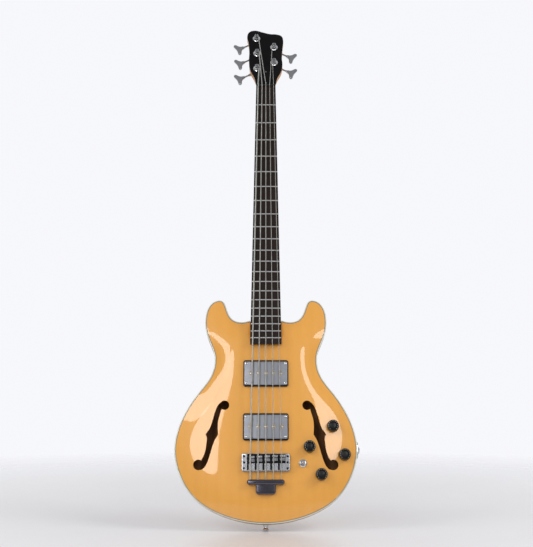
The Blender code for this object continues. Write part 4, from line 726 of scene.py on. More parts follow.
def wood_grain_group():
    """Long fibres, growth lines and slow figure, running up the neck."""
    group, given, out = effect(
        "Wood Grain",
        {"Position": (0.0, 0.0, 0.0), "Fibre Scale": 220.0, "Line Scale": 26.0, "Figure Scale": 7.0,
         "Stretch": (1.0, 1.0, 0.04)},
        ("Fibres", "Lines", "Figure"))
    run = stretched(group, given["Position"], given["Stretch"])
    group.links.new(noise(group, run, given["Fibre Scale"], 4.0, 0.6), out["Fibres"])
    rings = node(group, "ShaderNodeTexWave", {"Vector": run, "Scale": given["Line Scale"], "Distortion": 5.0,
                                              "Detail": 3.0, "Detail Scale": 1.4}, bands_direction="X")
    group.links.new(rings.outputs["Fac"], out["Lines"])
    slow = stretched(group, given["Position"], (1.0, 1.0, 0.45))
    group.links.new(noise(group, slow, given["Figure Scale"], 2.0, 0.5, 0.6), out["Figure"])
    return group


def handling_group():
    """Uneven gloss from wiping and handling, and a few hairline scratches."""
    group, given, out = effect(
        "Handling",
        {"Position": (0.0, 0.0, 0.0), "Roughness": 0.2, "Unevenness": 0.08, "Scale": 14.0},
        ("Roughness", "Scratches", "Dust"))
    cloud = noise(group, given["Position"], given["Scale"], 5.0, 0.6, 0.8)
    fine = noise(group, given["Position"], maths(group, "MULTIPLY", given["Scale"], 9.0), 3.0)
    blend = maths(group, "ADD", maths(group, "MULTIPLY", cloud, 0.7), maths(group, "MULTIPLY", fine, 0.3))
    swing = maths(group, "MULTIPLY", maths(group, "SUBTRACT", blend, 0.5), 2.0)
    change = maths(group, "MULTIPLY", swing, given["Unevenness"])
    group.links.new(maths(group, "ADD", change, given["Roughness"]), out["Roughness"])
    skew = node(group, "ShaderNodeVectorRotate", {"Vector": given["Position"], "Angle": 0.7},
                rotation_type="Y_AXIS").outputs[0]
    hair = noise(group, stretched(group, skew, (1.0, 1.0, 0.03)), 420.0, 1.0, 0.4)
    group.links.new(remap(group, hair, 0.70, 0.78, 0.0, 1.0), out["Scratches"])
    group.links.new(remap(group, cloud, 0.45, 0.75, 0.0, 1.0), out["Dust"])
    return group


def brushed_group():
    """Fine parallel brush lines in metal."""
    group, given, out = effect(
        "Brushed Lines",
        {"Position": (0.0, 0.0, 0.0), "Scale": 900.0, "Stretch": (0.02, 1.0, 1.0)},
        ("Lines", "Tone"))
    run = stretched(group, given["Position"], given["Stretch"])
    group.links.new(noise(group, run, given["Scale"], 3.0, 0.7), out["Lines"])
    group.links.new(noise(group, run, maths(group, "MULTIPLY", given["Scale"], 0.12), 4.0, 0.6), out["Tone"])
    return group


def winding_group():
    """The turns of wire round a string, from the length run along it, with painted shade for the grooves
    between them.
    """
    group, given, out = effect("Winding", {"Run": 0.0, "Turns per Metre": 1100.0}, ("Height", "Groove"))
    turns = maths(group, "MULTIPLY", given["Run"], given["Turns per Metre"])
    wave = maths(group, "ABSOLUTE", maths(group, "SINE", maths(group, "MULTIPLY", turns, pi)))
    group.links.new(maths(group, "POWER", wave, 0.6), out["Height"])
    group.links.new(remap(group, wave, 0.0, 0.5, 1.0, 0.0), out["Groove"])
    return group


GROUPS = {"Wood Grain": wood_grain_group, "Handling": handling_group, "Brushed Lines": brushed_group,
          "Winding": winding_group}


def placed_group(tree, name, inputs):
    """A shared effect placed in a material with its own values."""
    group = bpy.data.node_groups.get(name) or GROUPS[name]()
    return node(tree, "ShaderNodeGroup", inputs, node_tree=group).outputs


# Finishes


def surface(name, metallic=0.0, coat=0.0, coat_roughness=0.03, shine=0.5):
    """A new material with its tree, its shader's inputs and the position on the surface."""
    made = bpy.data.materials.new(name)
    made.use_nodes = True
    tree = made.node_tree
    shader = tree.nodes["Principled BSDF"].inputs
    for label, value in (("Metallic", metallic), ("Coat Weight", coat), ("Coat Roughness", coat_roughness),
                         ("Specular IOR Level", shine)):
        shader[label].default_value = value
    return made, tree, shader, node(tree, "ShaderNodeTexCoord").outputs["Object"]


def scaled(tree, value, factor):
    """A value times a factor."""
    return maths(tree, "MULTIPLY", value, factor)


def mixed(tree, share, first, second):
    """A colour between two others, the first of them fixed or linked."""
    if not isinstance(first, bpy.types.NodeSocket):
        first = (*first, 1.0)
    given = {"Factor": share, 6: first, 7: (*second, 1.0)}
    return node(tree, "ShaderNodeMix", given, data_type="RGBA", clamp_factor=True).outputs[2]


def handled(tree, position, roughness, unevenness, scale=14.0):
    """The results of the handling effect for one surface."""
    return placed_group(tree, "Handling", {"Position": position, "Roughness": roughness,
                                           "Unevenness": unevenness, "Scale": scale})


def bumped(tree, shader, height, distance):
    """Feeds a height to the shader's normal."""
    bump = node(tree, "ShaderNodeBump", {"Height": height, "Distance": distance, "Strength": 1.0})
    tree.links.new(bump.outputs["Normal"], shader["Normal"])


def wood_finish(name, light, deep, lines, fibres, roughness, coat, relief, line_scale, shine):
    """Wood with fibres, growth lines and slow figure under oil, satin or gloss lacquer."""
    made, tree, shader, position = surface(name, coat=coat, shine=shine)
    grain = placed_group(tree, "Wood Grain", {"Position": position, "Line Scale": line_scale})
    streaks = maths(tree, "ADD", scaled(tree, grain["Lines"], lines), scaled(tree, grain["Fibres"], fibres))
    share = maths(tree, "ADD", streaks, scaled(tree, grain["Figure"], 0.3))
    worn = handled(tree, position, roughness, 0.07)
    dulled = mixed(tree, scaled(tree, worn["Dust"], 0.10), mixed(tree, share, light, deep), deep)
    tree.links.new(dulled, shader["Base Color"])
    tree.links.new(worn["Roughness"], shader["Roughness"])
    height = maths(tree, "SUBTRACT", grain["Fibres"], scaled(tree, worn["Scratches"], 0.3))
    bumped(tree, shader, height, relief)
    return made


def plastic_finish(name, colour, roughness, speckle, coat=0.0, shine=0.5):
    """Moulded or polished plastic with faint clouding and a fine skin."""
    made, tree, shader, position = surface(name, coat=coat, coat_roughness=0.04, shine=shine)
    worn = handled(tree, position, roughness, 0.09, 30.0)
    paler = tuple(min(1.0, value * 1.2 + 0.002) for value in colour)
    tree.links.new(mixed(tree, worn["Dust"], colour, paler), shader["Base Color"])
    tree.links.new(worn["Roughness"], shader["Roughness"])
    skin = noise(tree, position, speckle, 2.0)
    bumped(tree, shader, maths(tree, "SUBTRACT", skin, worn["Scratches"]), 0.00002)
    return made


def metal_finish(name, colour, roughness, brushing, stretch=(1.0, 1.0, 1.0), unevenness=0.06):
    """Metal with brush lines, wiped unevenly, its tone a little cloudy."""
    made, tree, shader, position = surface(name, metallic=1.0)
    lines = placed_group(tree, "Brushed Lines", {"Position": position, "Stretch": stretch})
    worn = handled(tree, position, roughness, unevenness, 40.0)
    darker = tuple(value * 0.72 for value in colour)
    share = maths(tree, "ADD", scaled(tree, lines["Tone"], 0.45 + brushing), scaled(tree, worn["Dust"], 0.18))
    tree.links.new(mixed(tree, share, colour, darker), shader["Base Color"])
    streaks = scaled(tree, maths(tree, "SUBTRACT", lines["Lines"], 0.5), brushing)
    tree.links.new(maths(tree, "ADD", worn["Roughness"], streaks), shader["Roughness"])
    relief = 0.00003 * (0.15 + brushing)
    bumped(tree, shader, maths(tree, "SUBTRACT", lines["Lines"], worn["Scratches"]), relief)
    return made


def string_finish(name, colour):
    """Round-wound steel, with painted shade darkening it down in the grooves of the winding."""
    made, tree, shader, position = surface(name, metallic=1.0)
    run = node(tree, "ShaderNodeAttribute", attribute_name="run").outputs["Fac"]
    pitch = bpy.context.scene.bass_details.winding
    wire = placed_group(tree, "Winding", {"Run": run, "Turns per Metre": 1.0 / pitch})
    worn = handled(tree, position, 0.46, 0.08, 60.0)
    darker = tuple(value * 0.55 for value in colour)
    # Painted shade down in the winding's grooves, together with real dust
    share = maths(tree, "ADD", scaled(tree, wire["Groove"], 0.6), scaled(tree, worn["Dust"], 0.3))
    tree.links.new(mixed(tree, share, colour, darker), shader["Base Color"])
    tree.links.new(worn["Roughness"], shader["Roughness"])
    bumped(tree, shader, wire["Height"], 0.00015)
    return made


# Each finish: how it is made, then its colours, by name where a user may pick them, and its values
FINISHES = {
    # Light and deep colour, growth lines, fibres, roughness, coat, relief, line scale, shine
    "gold_top": (wood_finish, "gold_light", "gold_deep", 0.10, 0.16, 0.30, 1.0, 0.00002, 14.0, 0.25),
    "maple": (wood_finish, "maple_light", "maple_deep", 0.22, 0.35, 0.40, 0.12, 0.00004, 26.0, 0.3),
    # The bare wood inside is darkened past its own colour: painted shade for the hollow body
    "inner_wood": (wood_finish, "bare_light", "bare_deep", 0.30, 0.45, 0.72, 0.0, 0.0001, 26.0, 0.15),
    "dark_board": (wood_finish, "board_deep", "board_light", 0.35, 0.75, 0.42, 0.0, 0.00008, 60.0, 0.10),
    # Colour, roughness, speckle, coat, shine
    "cream": (plastic_finish, "binding", 0.24, 300.0, 0.6),
    "black_gloss": (plastic_finish, "black", 0.16, 180.0, 0.05, 0.10),
    "black_plastic": (plastic_finish, "black", 0.14, 900.0, 0.30, 0.25),
    "knob_black": (plastic_finish, "black", 0.30, 900.0, 0.0, 0.35),
    "nut_black": (plastic_finish, (0.016, 0.016, 0.017), 0.38, 700.0, 0.0, 0.25),
    "grey_line": (plastic_finish, (0.20, 0.205, 0.21), 0.30, 300.0),
    "pale_dots": (plastic_finish, (0.55, 0.55, 0.52), 0.40, 600.0),
    # Colour, roughness, brushing, stretch of the brush lines, unevenness
    "pickup_cover": (metal_finish, "cover", 0.42, 0.16, (0.02, 1.0, 1.0)),
    "satin_chrome": (metal_finish, "satin", 0.27, 0.06, (1.0, 1.0, 0.05)),
    "chrome": (metal_finish, "chrome", 0.12, 0.02, (1.0, 1.0, 1.0), 0.05),
    "dark_chrome": (metal_finish, "smoked", 0.14, 0.04, (0.2, 1.0, 1.0)),
    "fret_steel": (metal_finish, (0.78, 0.78, 0.78), 0.36, 0.03),
    "brass": (metal_finish, "brass", 0.28, 0.05),
    "string_steel": (string_finish, "strings"),
}


def finish(kind):
    """The material of one finish, made when first asked for."""
    label = f"bass {kind.replace('_', ' ')}"
    made = bpy.data.materials.get(label)
    if made is None:
        colours = bpy.context.scene.bass_colours
        make, *values = FINISHES[kind]
        values = [getattr(colours, value) if isinstance(value, str) else value for value in values]
        made = make(label, *values)
    return made


class BASS_OT_finish_kept_nodes(Operator):
    """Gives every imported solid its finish, which shows where no piece replaces it"""

    bl_idname = "bass.finish_kept_nodes"
    bl_label = "Finish Kept Solids"

    def execute(self, context):
        slots = {part["node"]: part["material_slot"] for part in frame["record"]["subparts"]}
        for name, item in frame["nodes"].items():
            item.data.materials.clear()
            item.data.materials.append(finish(slots[name]))
            smoothed(item.data, 30.0)
        return {"FINISHED"}


# Body


def body_outline(facet):
    """The body's outline, counterclockwise from the middle of its bottom."""
    half = []
    for start, end in zip(OUTLINE_STATIONS, OUTLINE_STATIONS[1:]):
        place, target = Vector(start[:2]), Vector(end[:2])
        out = place + start[4] * Vector((cos(radians(start[2])), sin(radians(start[2]))))
        back = target - end[3] * Vector((cos(radians(end[2])), sin(radians(end[2]))))
        handles = [point.to_3d() for point in (place, out, back, target)]
        fine = interpolate_bezier(*handles, 25)
        runs = [b - a for a, b in zip(fine, fine[1:])]
        turning = sum(a.angle(b) for a, b in zip(runs, runs[1:]))
        steps = max(6, ceil(turning / facet))
        half += [point.to_2d() for point in interpolate_bezier(*handles, steps + 1)[:-1]]
    other = [Vector((-point.x, point.y)) for point in reversed(half[1:])]
    loop = half + [Vector(OUTLINE_STATIONS[-1][:2])] + other
    return [point + Vector((0.0, BODY_BOTTOM)) for point in loop]


def f_hole_loops(side):
    """The two eyes and the sawn stem of one f-hole."""
    stem = [(side * (x + across), y + up + BODY_BOTTOM, *sharp)
            for (x, y, radius), run in F_STEM for across, up, *sharp in run]
    eyes = [circle(side * x, y + BODY_BOTTOM, radius, 36) for x, y, radius in (F_UPPER_EYE, F_LOWER_EYE)]
    return [*eyes, drawn(stem)]


def over_flat(point):
    """Whether a place lies over the flat middle of the plates."""
    return (abs(point.x) < FLAT_HALF + CLEARANCE and
            FLAT_LOW - CLEARANCE < point.y < FLAT_HIGH + CLEARANCE)


def domed_plan(loop, holes, spacing):
    """Points and triangles over the loop, with the faces of the holes told apart."""
    loops = [wound(each) for each in (loop, *holes)]
    loops.append(wound([(-FLAT_HALF, FLAT_LOW), (FLAT_HALF, FLAT_LOW),
                        (FLAT_HALF, FLAT_HIGH), (-FLAT_HALF, FLAT_HIGH)]))
    points, faces = [], []
    for each in loops:
        faces.append(list(range(len(points), len(points) + len(each))))
        points += each
    edge_points = np.array([tuple(point) for point in points])
    row = spacing * sqrt(3) / 2
    columns = ceil(BODY_HALF / spacing)
    top = max(point.y for point in loop)
    for j in range(ceil(top / row)):
        for i in range(-columns, columns + 1):
            place = Vector(((i + 0.5 * (j % 2)) * spacing, j * row))
            gap = edge_points - np.array(tuple(place))
            if (gap * gap).sum(axis=1).min() > (0.5 * spacing) ** 2:
                points.append(place)
    made = delaunay_2d_cdt(points, [], faces, 1, 1e-7, True)
    plan, triangles, sources = made[0], made[2], made[5]
    hole_ids = set(range(1, 1 + len(holes)))
    inside = [(face, source) for face, source in zip(triangles, sources) if 0 in source]
    kept = [face for face, source in inside if not hole_ids & set(source)]
    return plan, [face for face, source in inside], kept


def arch(points, faces):
    """How far each plan point has risen from the rim, 0, to the flat middle, 1."""
    count = len(points)
    places = np.array([tuple(point) for point in points])
    corners = np.array(faces)
    stiffness = np.zeros((count, count))
    force = np.zeros(count)
    sides = places[corners]
    first, second = sides[:, 1] - sides[:, 0], sides[:, 2] - sides[:, 0]
    areas = np.abs(first[:, 0] * second[:, 1] - first[:, 1] * second[:, 0]) / 2
    for k in range(3):
        here, i, j = corners[:, k], corners[:, k - 1], corners[:, k - 2]
        u, v = places[i] - places[here], places[j] - places[here]
        weight = (u * v).sum(axis=1) / (4 * areas)
        np.add.at(stiffness, (i, i), weight)
        np.add.at(stiffness, (j, j), weight)
        np.add.at(stiffness, (i, j), -weight)
        np.add.at(stiffness, (j, i), -weight)
        np.add.at(force, here, ARCH_PUSH * areas / 3)
    seen = {}
    for face in faces:
        for k in range(3):
            edge = tuple(sorted((face[k - 1], face[k])))
            seen[edge] = seen.get(edge, 0) + 1
    fixed = {place: 0.0 for edge, times in seen.items() if times == 1 for place in edge}
    fixed.update({i: 1.0 for i, point in enumerate(points) if over_flat(point)})
    used = set(corners.flatten())
    fixed.update({i: 0.0 for i in range(count) if i not in used})
    for place, height in fixed.items():
        stiffness[place] = 0.0
        stiffness[place, place] = 1.0
        force[place] = height
    risen = np.minimum(np.linalg.solve(stiffness, force), 1.0)
    return 1 - (1 - risen) ** 2


def plate_solid(plan, faces, upper, lower):
    """A plate between two sets of heights, its inner face and its cut edges left bare wood."""
    bm = bmesh.new()
    used = sorted({i for face in faces for i in face})
    highs = {i: bm.verts.new((*plan[i], upper[i])) for i in used}
    lows = {i: bm.verts.new((*plan[i], lower[i])) for i in used}
    directed = {(face[k - 1], face[k]) for face in faces for k in range(3)}
    bare = 1 if upper[0] > 0 else 0
    for face in faces:
        bm.faces.new([highs[i] for i in face]).material_index = 0 if bare else 1
        bm.faces.new([lows[i] for i in reversed(face)]).material_index = bare
    for a, b in directed:
        if (b, a) not in directed:
            bm.faces.new((lows[a], lows[b], highs[b], highs[a])).material_index = 1
    return finished(bm, BENCH, 30.0)


def band(loop, profile):
    """A closed profile, (inset, level), swept all the way round the outline."""
    insets = {away: inset(loop, away) for away in {away for away, level in profile}}
    rings = [[(*insets[away][i], level) for away, level in profile] for i in range(len(loop))]
    return lofted(rings, closed=True, angle=40.0)


def square_band(outer, inner, low, high):
    """The profile of a band with four sharp corners."""
    return [(outer, low), (outer, high), (inner, high), (inner, low)]


def rounded_band(width, low, high, lower_round, upper_round):
    """The profile of a band whose outer corners are rounded."""
    profile = [(width, low), *rounded_edges(low, high, lower_round, upper_round), (width, high)]
    return list(dict.fromkeys(profile))


def board_half_width(y):
    """Half the fretboard's width at a place along it."""
    share = (NUT_FRONT - y) / (NUT_FRONT - BOARD_END)
    return (NUT_WIDTH + (BOARD_END_WIDTH - NUT_WIDTH) * share) / 2


class BASS_OT_build_body(Operator):
    """Builds the arched top and back, the bent sides and the bindings"""

    bl_idname = "bass.build_body"
    bl_label = "Body"

    def execute(self, context):
        details = context.scene.bass_details
        outline = body_outline(details.facet)
        half = board_half_width(TENON_START) + CLEARANCE
        start = TENON_START - CLEARANCE

        def pocketed(mesh, *tools, **settings):
            """The mesh with room for the neck's tenon, and the other tools cut from it."""
            pocket = block((-half, start, HEEL_BOTTOM - CLEARANCE), (half, HEEL_Y + RIM, 2 * RIM))
            return carved(mesh, "DIFFERENCE", pocket, *tools, **settings)

        low = RIM - BINDING_HEIGHT
        side_top = low - CLEARANCE
        wall = pocketed(band(outline, square_band(0.0, SIDE_THICKNESS, -side_top, side_top)),
                        rod(JACK_HOLE, DRILL, -DRILL, spot(BODY_HALF, JACK_Y) @ quarter("Y")),
                        rod(BUTTON_HOLE, DRILL, -DRILL, spot(0.0, BODY_BOTTOM) @ quarter("X")))
        add_piece("bent_sides", wall, "bass", "maple", "sides")

        cream_width = BINDING_WIDTH - PURFLING_WIDTH
        rounding = details.binding_round
        for name, kind, profile in (
                ("top_edge_binding", "cream", rounded_band(cream_width, low, RIM, CRISP, rounding)),
                ("top_edge_line", "grey_line", square_band(cream_width, BINDING_WIDTH, low, RIM))):
            add_piece(name, pocketed(band(outline, profile), angle=40.0), "bass", kind, "top_binding")
        back_band = band(outline, rounded_band(BINDING_WIDTH, -RIM, -low, rounding, CRISP))
        add_piece("back_edge_binding", back_band, "bass", "cream", "back_binding")

        rim = inset(outline, PLATE_INSET)
        end = max(point.y for point in rim if abs(point.x) < half) + RIM
        width, length = (size + PICKUP_ROOM for size in PICKUP_SIZE)
        holes = [*f_hole_loops(1.0), *f_hole_loops(-1.0),
                 [(-half, start), (half, start), (half, end), (-half, end)],
                 *(rectangle(width, length, PICKUP_CORNER, (0.0, place[0])) for place in PICKUPS.values()),
                 *(circle(x, y, KNOB_HOLE) for x, y in KNOBS), circle(*SWITCH, SWITCH_HOLE)]
        for name, node_name, edge, level, cuts in (
                ("arched_top", "top_plate", RIM, TOP_LEVEL, holes),
                ("arched_back", "back_plate", -RIM, BACK_LEVEL, [circle(0.0, HEEL_BUTTON_Y, BUTTON_HOLE)])):
            plan, whole, kept = domed_plan(rim, cuts, details.spacing)
            outer = edge + (level - edge) * arch(plan, whole)
            if edge > 0:
                plate = plate_solid(plan, kept, outer, outer - PLATE_THICKNESS)
            else:
                plate = plate_solid(plan, kept, outer + PLATE_THICKNESS, outer)
            add_piece(name, plate, "bass", "gold_top", node_name, extra=("inner_wood",))
        return {"FINISHED"}


# Neck


def neck_section(y, half_width, top, bottom, squareness, matrix=STRAIGHT, steps=24):
    """One section of the neck: a flat face and a round back, more square with a higher power."""
    power = 2.0 / squareness
    points = []
    for i in range(steps + 1):
        turn = pi * i / steps
        across = abs(cos(turn)) ** power * (1 if cos(turn) >= 0 else -1)
        down = sin(turn) ** power if 0 < i < steps else 0.0
        points.append(matrix @ Vector((half_width * across, y, top - (top - bottom) * down)))
    return points


def held(value):
    """A value kept between 0 and 1."""
    return min(1.0, max(0.0, value))


def eased(keys, places):
    """Smooth values between keys (place, value), without overshoot."""
    x = np.array([key[0] for key in keys])
    y = np.array([key[1] for key in keys])
    slopes = np.diff(y) / np.diff(x)
    bends = np.zeros(len(x))
    for i in range(1, len(x) - 1):
        if slopes[i - 1] * slopes[i] > 0:
            bends[i] = 2 * slopes[i - 1] * slopes[i] / (slopes[i - 1] + slopes[i])
    out = []
    for place in places:
        i = int(min(len(x) - 2, max(0, np.searchsorted(x, place) - 1)))
        gap = x[i + 1] - x[i]
        t = held((place - x[i]) / gap)
        out.append((2 * t ** 3 - 3 * t ** 2 + 1) * y[i] + (t ** 3 - 2 * t ** 2 + t) * gap * bends[i] +
                   (3 * t ** 2 - 2 * t ** 3) * y[i + 1] + (t ** 3 - t ** 2) * gap * bends[i + 1])
    return out


def head_outline(start):
    """The headstock's outline from a start line near the nut."""
    half = NUT_WIDTH / 2 + HEAD_FLARE * start
    return drawn([(-half, start, True), *HEAD_EDGE, (half, start, True)], 8)


def fret_y(number):
    """Place of a fret along the neck."""
    return NUT_FRONT - SCALE_LENGTH * (1 - 2 ** (-number / 12))


def radius_drop(x):
    """How far the round fretboard has fallen away at x."""
    return BOARD_RADIUS - sqrt(BOARD_RADIUS ** 2 - x ** 2)


class BASS_OT_build_neck(Operator):
    """Builds the neck with its headstock, the black face and the rod cover"""

    bl_idname = "bass.build_neck"
    bl_label = "Neck"

    def execute(self, context):
        half_nut = NUT_WIDTH / 2
        tilted = BENCH.inverted() @ HEAD
        # Place along the neck, level of its underside and squareness
        keys = [(TENON_START, HEEL_BOTTOM, 30.0), (HEEL_Y, HEEL_BOTTOM, 14.0),
                (HEEL_Y + 0.012, HEEL_BOTTOM + 0.0025, 4.2), (HEEL_Y + 0.028, HEEL_BOTTOM + 0.0070, 2.9),
                (HEEL_Y + 0.050, SHAFT_BOTTOM_LOW - 0.0006, 2.4), (fret_y(12), SHAFT_BOTTOM_LOW, 2.2),
                (fret_y(1), SHAFT_BOTTOM_NUT, 2.2)]
        places = [TENON_START, HEEL_Y - 0.001, *np.linspace(HEEL_Y, HEEL_Y + 0.055, 14),
                  *np.linspace(fret_y(13), fret_y(1), 8)]
        bottoms, powers = (eased([(key[0], key[i]) for key in keys], places) for i in (1, 2))
        rings = [neck_section(y, board_half_width(y), NECK_TOP, bottom, power)
                 for y, bottom, power in zip(places, bottoms, powers)]
        rings.append(neck_section(NUT_BACK - 0.001, half_nut, NECK_TOP, SHAFT_BOTTOM_NUT, 2.3))
        wood_top = -OVERLAY_THICKNESS - CLEARANCE
        for share, power, shrink in HEAD_RINGS:
            up = HEAD_SLAB_START * share
            rings.append(neck_section(up, half_nut + HEAD_FLARE * up - max(0.0001, shrink), wood_top - 0.0001,
                                      -HEAD_THICKNESS + shrink, power, tilted))
        head = slab([head_outline(HEAD_SLAB_START)], -HEAD_THICKNESS, wood_top, 0.0, 0.0008, HEAD)
        slot = block((-ROD_SLOT_HALF, ROD_SLOT_START, ROD_SLOT_FLOOR), (ROD_SLOT_HALF, ROD_SLOT_END, 2 * RIM))
        holes = [rod(BUSHING_RADIUS + CLEARANCE, RIM, -RIM, HEAD @ Matrix.Translation((x, y, 0.0)))
                 for x, y in POST_PLACES]
        shaft = carved(lofted(rings, angle=50.0), "UNION", head)
        shaft = carved(shaft, "DIFFERENCE", slot, *[hole.copy() for hole in holes], angle=40.0)
        add_piece("neck_and_head", shaft, "bass", "maple", "neck")
        face = slab([head_outline(CLEARANCE)], -OVERLAY_THICKNESS, 0.0, 0.0006, 0.0, HEAD)
        add_piece("head_face", carved(face, "DIFFERENCE", *holes), "bass", "black_gloss", "headstock_overlay")

        high = CLEARANCE + PLATE_HEIGHT
        cover = slab([drawn(ROD_COVER)], CLEARANCE, high, 0.0005, 0.0, HEAD)
        add_piece("rod_cover", cover, "bass", "black_gloss", "truss_rod_cover")
        seats = [HEAD @ Matrix.Translation((0.0, y, high - 0.0002)) for y in ROD_COVER_SCREWS]
        add_piece("rod_cover_screws", copies(screw_head(*SMALL_SCREW), *seats), "bass", "satin_chrome")
        return {"FINISHED"}


def board_section(y, across, edge=0.0006):
    """One section of the fretboard, its round face first."""
    half = board_half_width(y)
    low = BOARD_TOP - BOARD_THICKNESS
    side = BOARD_TOP - radius_drop(half) - edge
    face = [(half - edge) * (2 * i / across - 1) for i in range(across + 1)]
    return [(-half, y, side), *((x, y, BOARD_TOP - radius_drop(x)) for x in face), (half, y, side),
            (half, y, low), (-half, y, low)]


def fret_stations(half, across):
    """Places across a fret with its height there, falling off at both ends."""
    inner = half - 0.0014
    middle = [(inner * (2 * i / across - 1), 1.0) for i in range(across + 1)]
    return [(-half, 0.2), (-half + 0.0006, 0.7), *middle, (half - 0.0006, 0.7), (half, 0.2)]


def fret_section(x, middle, share, details):
    """One section of a fret: its foot, its crown of a share of the full height, and its foot again."""
    level = BOARD_TOP - radius_drop(x)
    half = details.fret_width / 2
    crown = [(x, middle - cos(turn) * details.fret_width / 2,
              level + sin(turn) * details.fret_height * share)
             for turn in (pi * step / 6 for step in range(7))]
    return [(x, middle - half, level - 0.0005), *crown, (x, middle + half, level - 0.0005)]


class BASS_OT_build_fretboard(Operator):
    """Builds the round-faced fretboard and its domed frets"""

    bl_idname = "bass.build_fretboard"
    bl_label = "Fretboard"

    def execute(self, context):
        details = context.scene.bass_details
        across = 16
        sections = [board_section(y, across) for y in np.linspace(BOARD_END, NUT_FRONT - CLEARANCE, 12)]
        add_piece("board", lofted(sections, angle=25.0), "bass", "dark_board", "fretboard")
        frets = []
        for number in range(1, FRET_COUNT + 1):
            middle = fret_y(number)
            stations = fret_stations(board_half_width(middle) - CLEARANCE, across)
            sections = [fret_section(x, middle, share, details) for x, share in stations]
            frets.append(lofted(sections, angle=50.0))
        add_piece("fret_wires", joined(*frets), "bass", "fret_steel")
        return {"FINISHED"}


# Tuning machines and strings


def machine(number):
    """A tuning machine's place, the way its key points, and the place of its worm."""
    x, y = POST_PLACES[number]
    side = -1.0 if x < 0 else 1.0
    outward = Vector((side * cos(KEY_SLOPE), -sin(KEY_SLOPE), 0.0))
    upward = Vector((side * sin(KEY_SLOPE), cos(KEY_SLOPE), 0.0))
    back = -HEAD_THICKNESS - CLEARANCE
    worm = Vector((x, y, back - WORM_DEPTH)) + upward * WORM_OFFSET
    return Vector((x, y, 0.0)), outward, worm


def pointing(place, outward):
    """The frame at a place in the headstock's plane whose x runs outward."""
    return HEAD @ Matrix.Translation(place) @ Matrix.Rotation(atan2(outward.y, outward.x), 4, "Z")


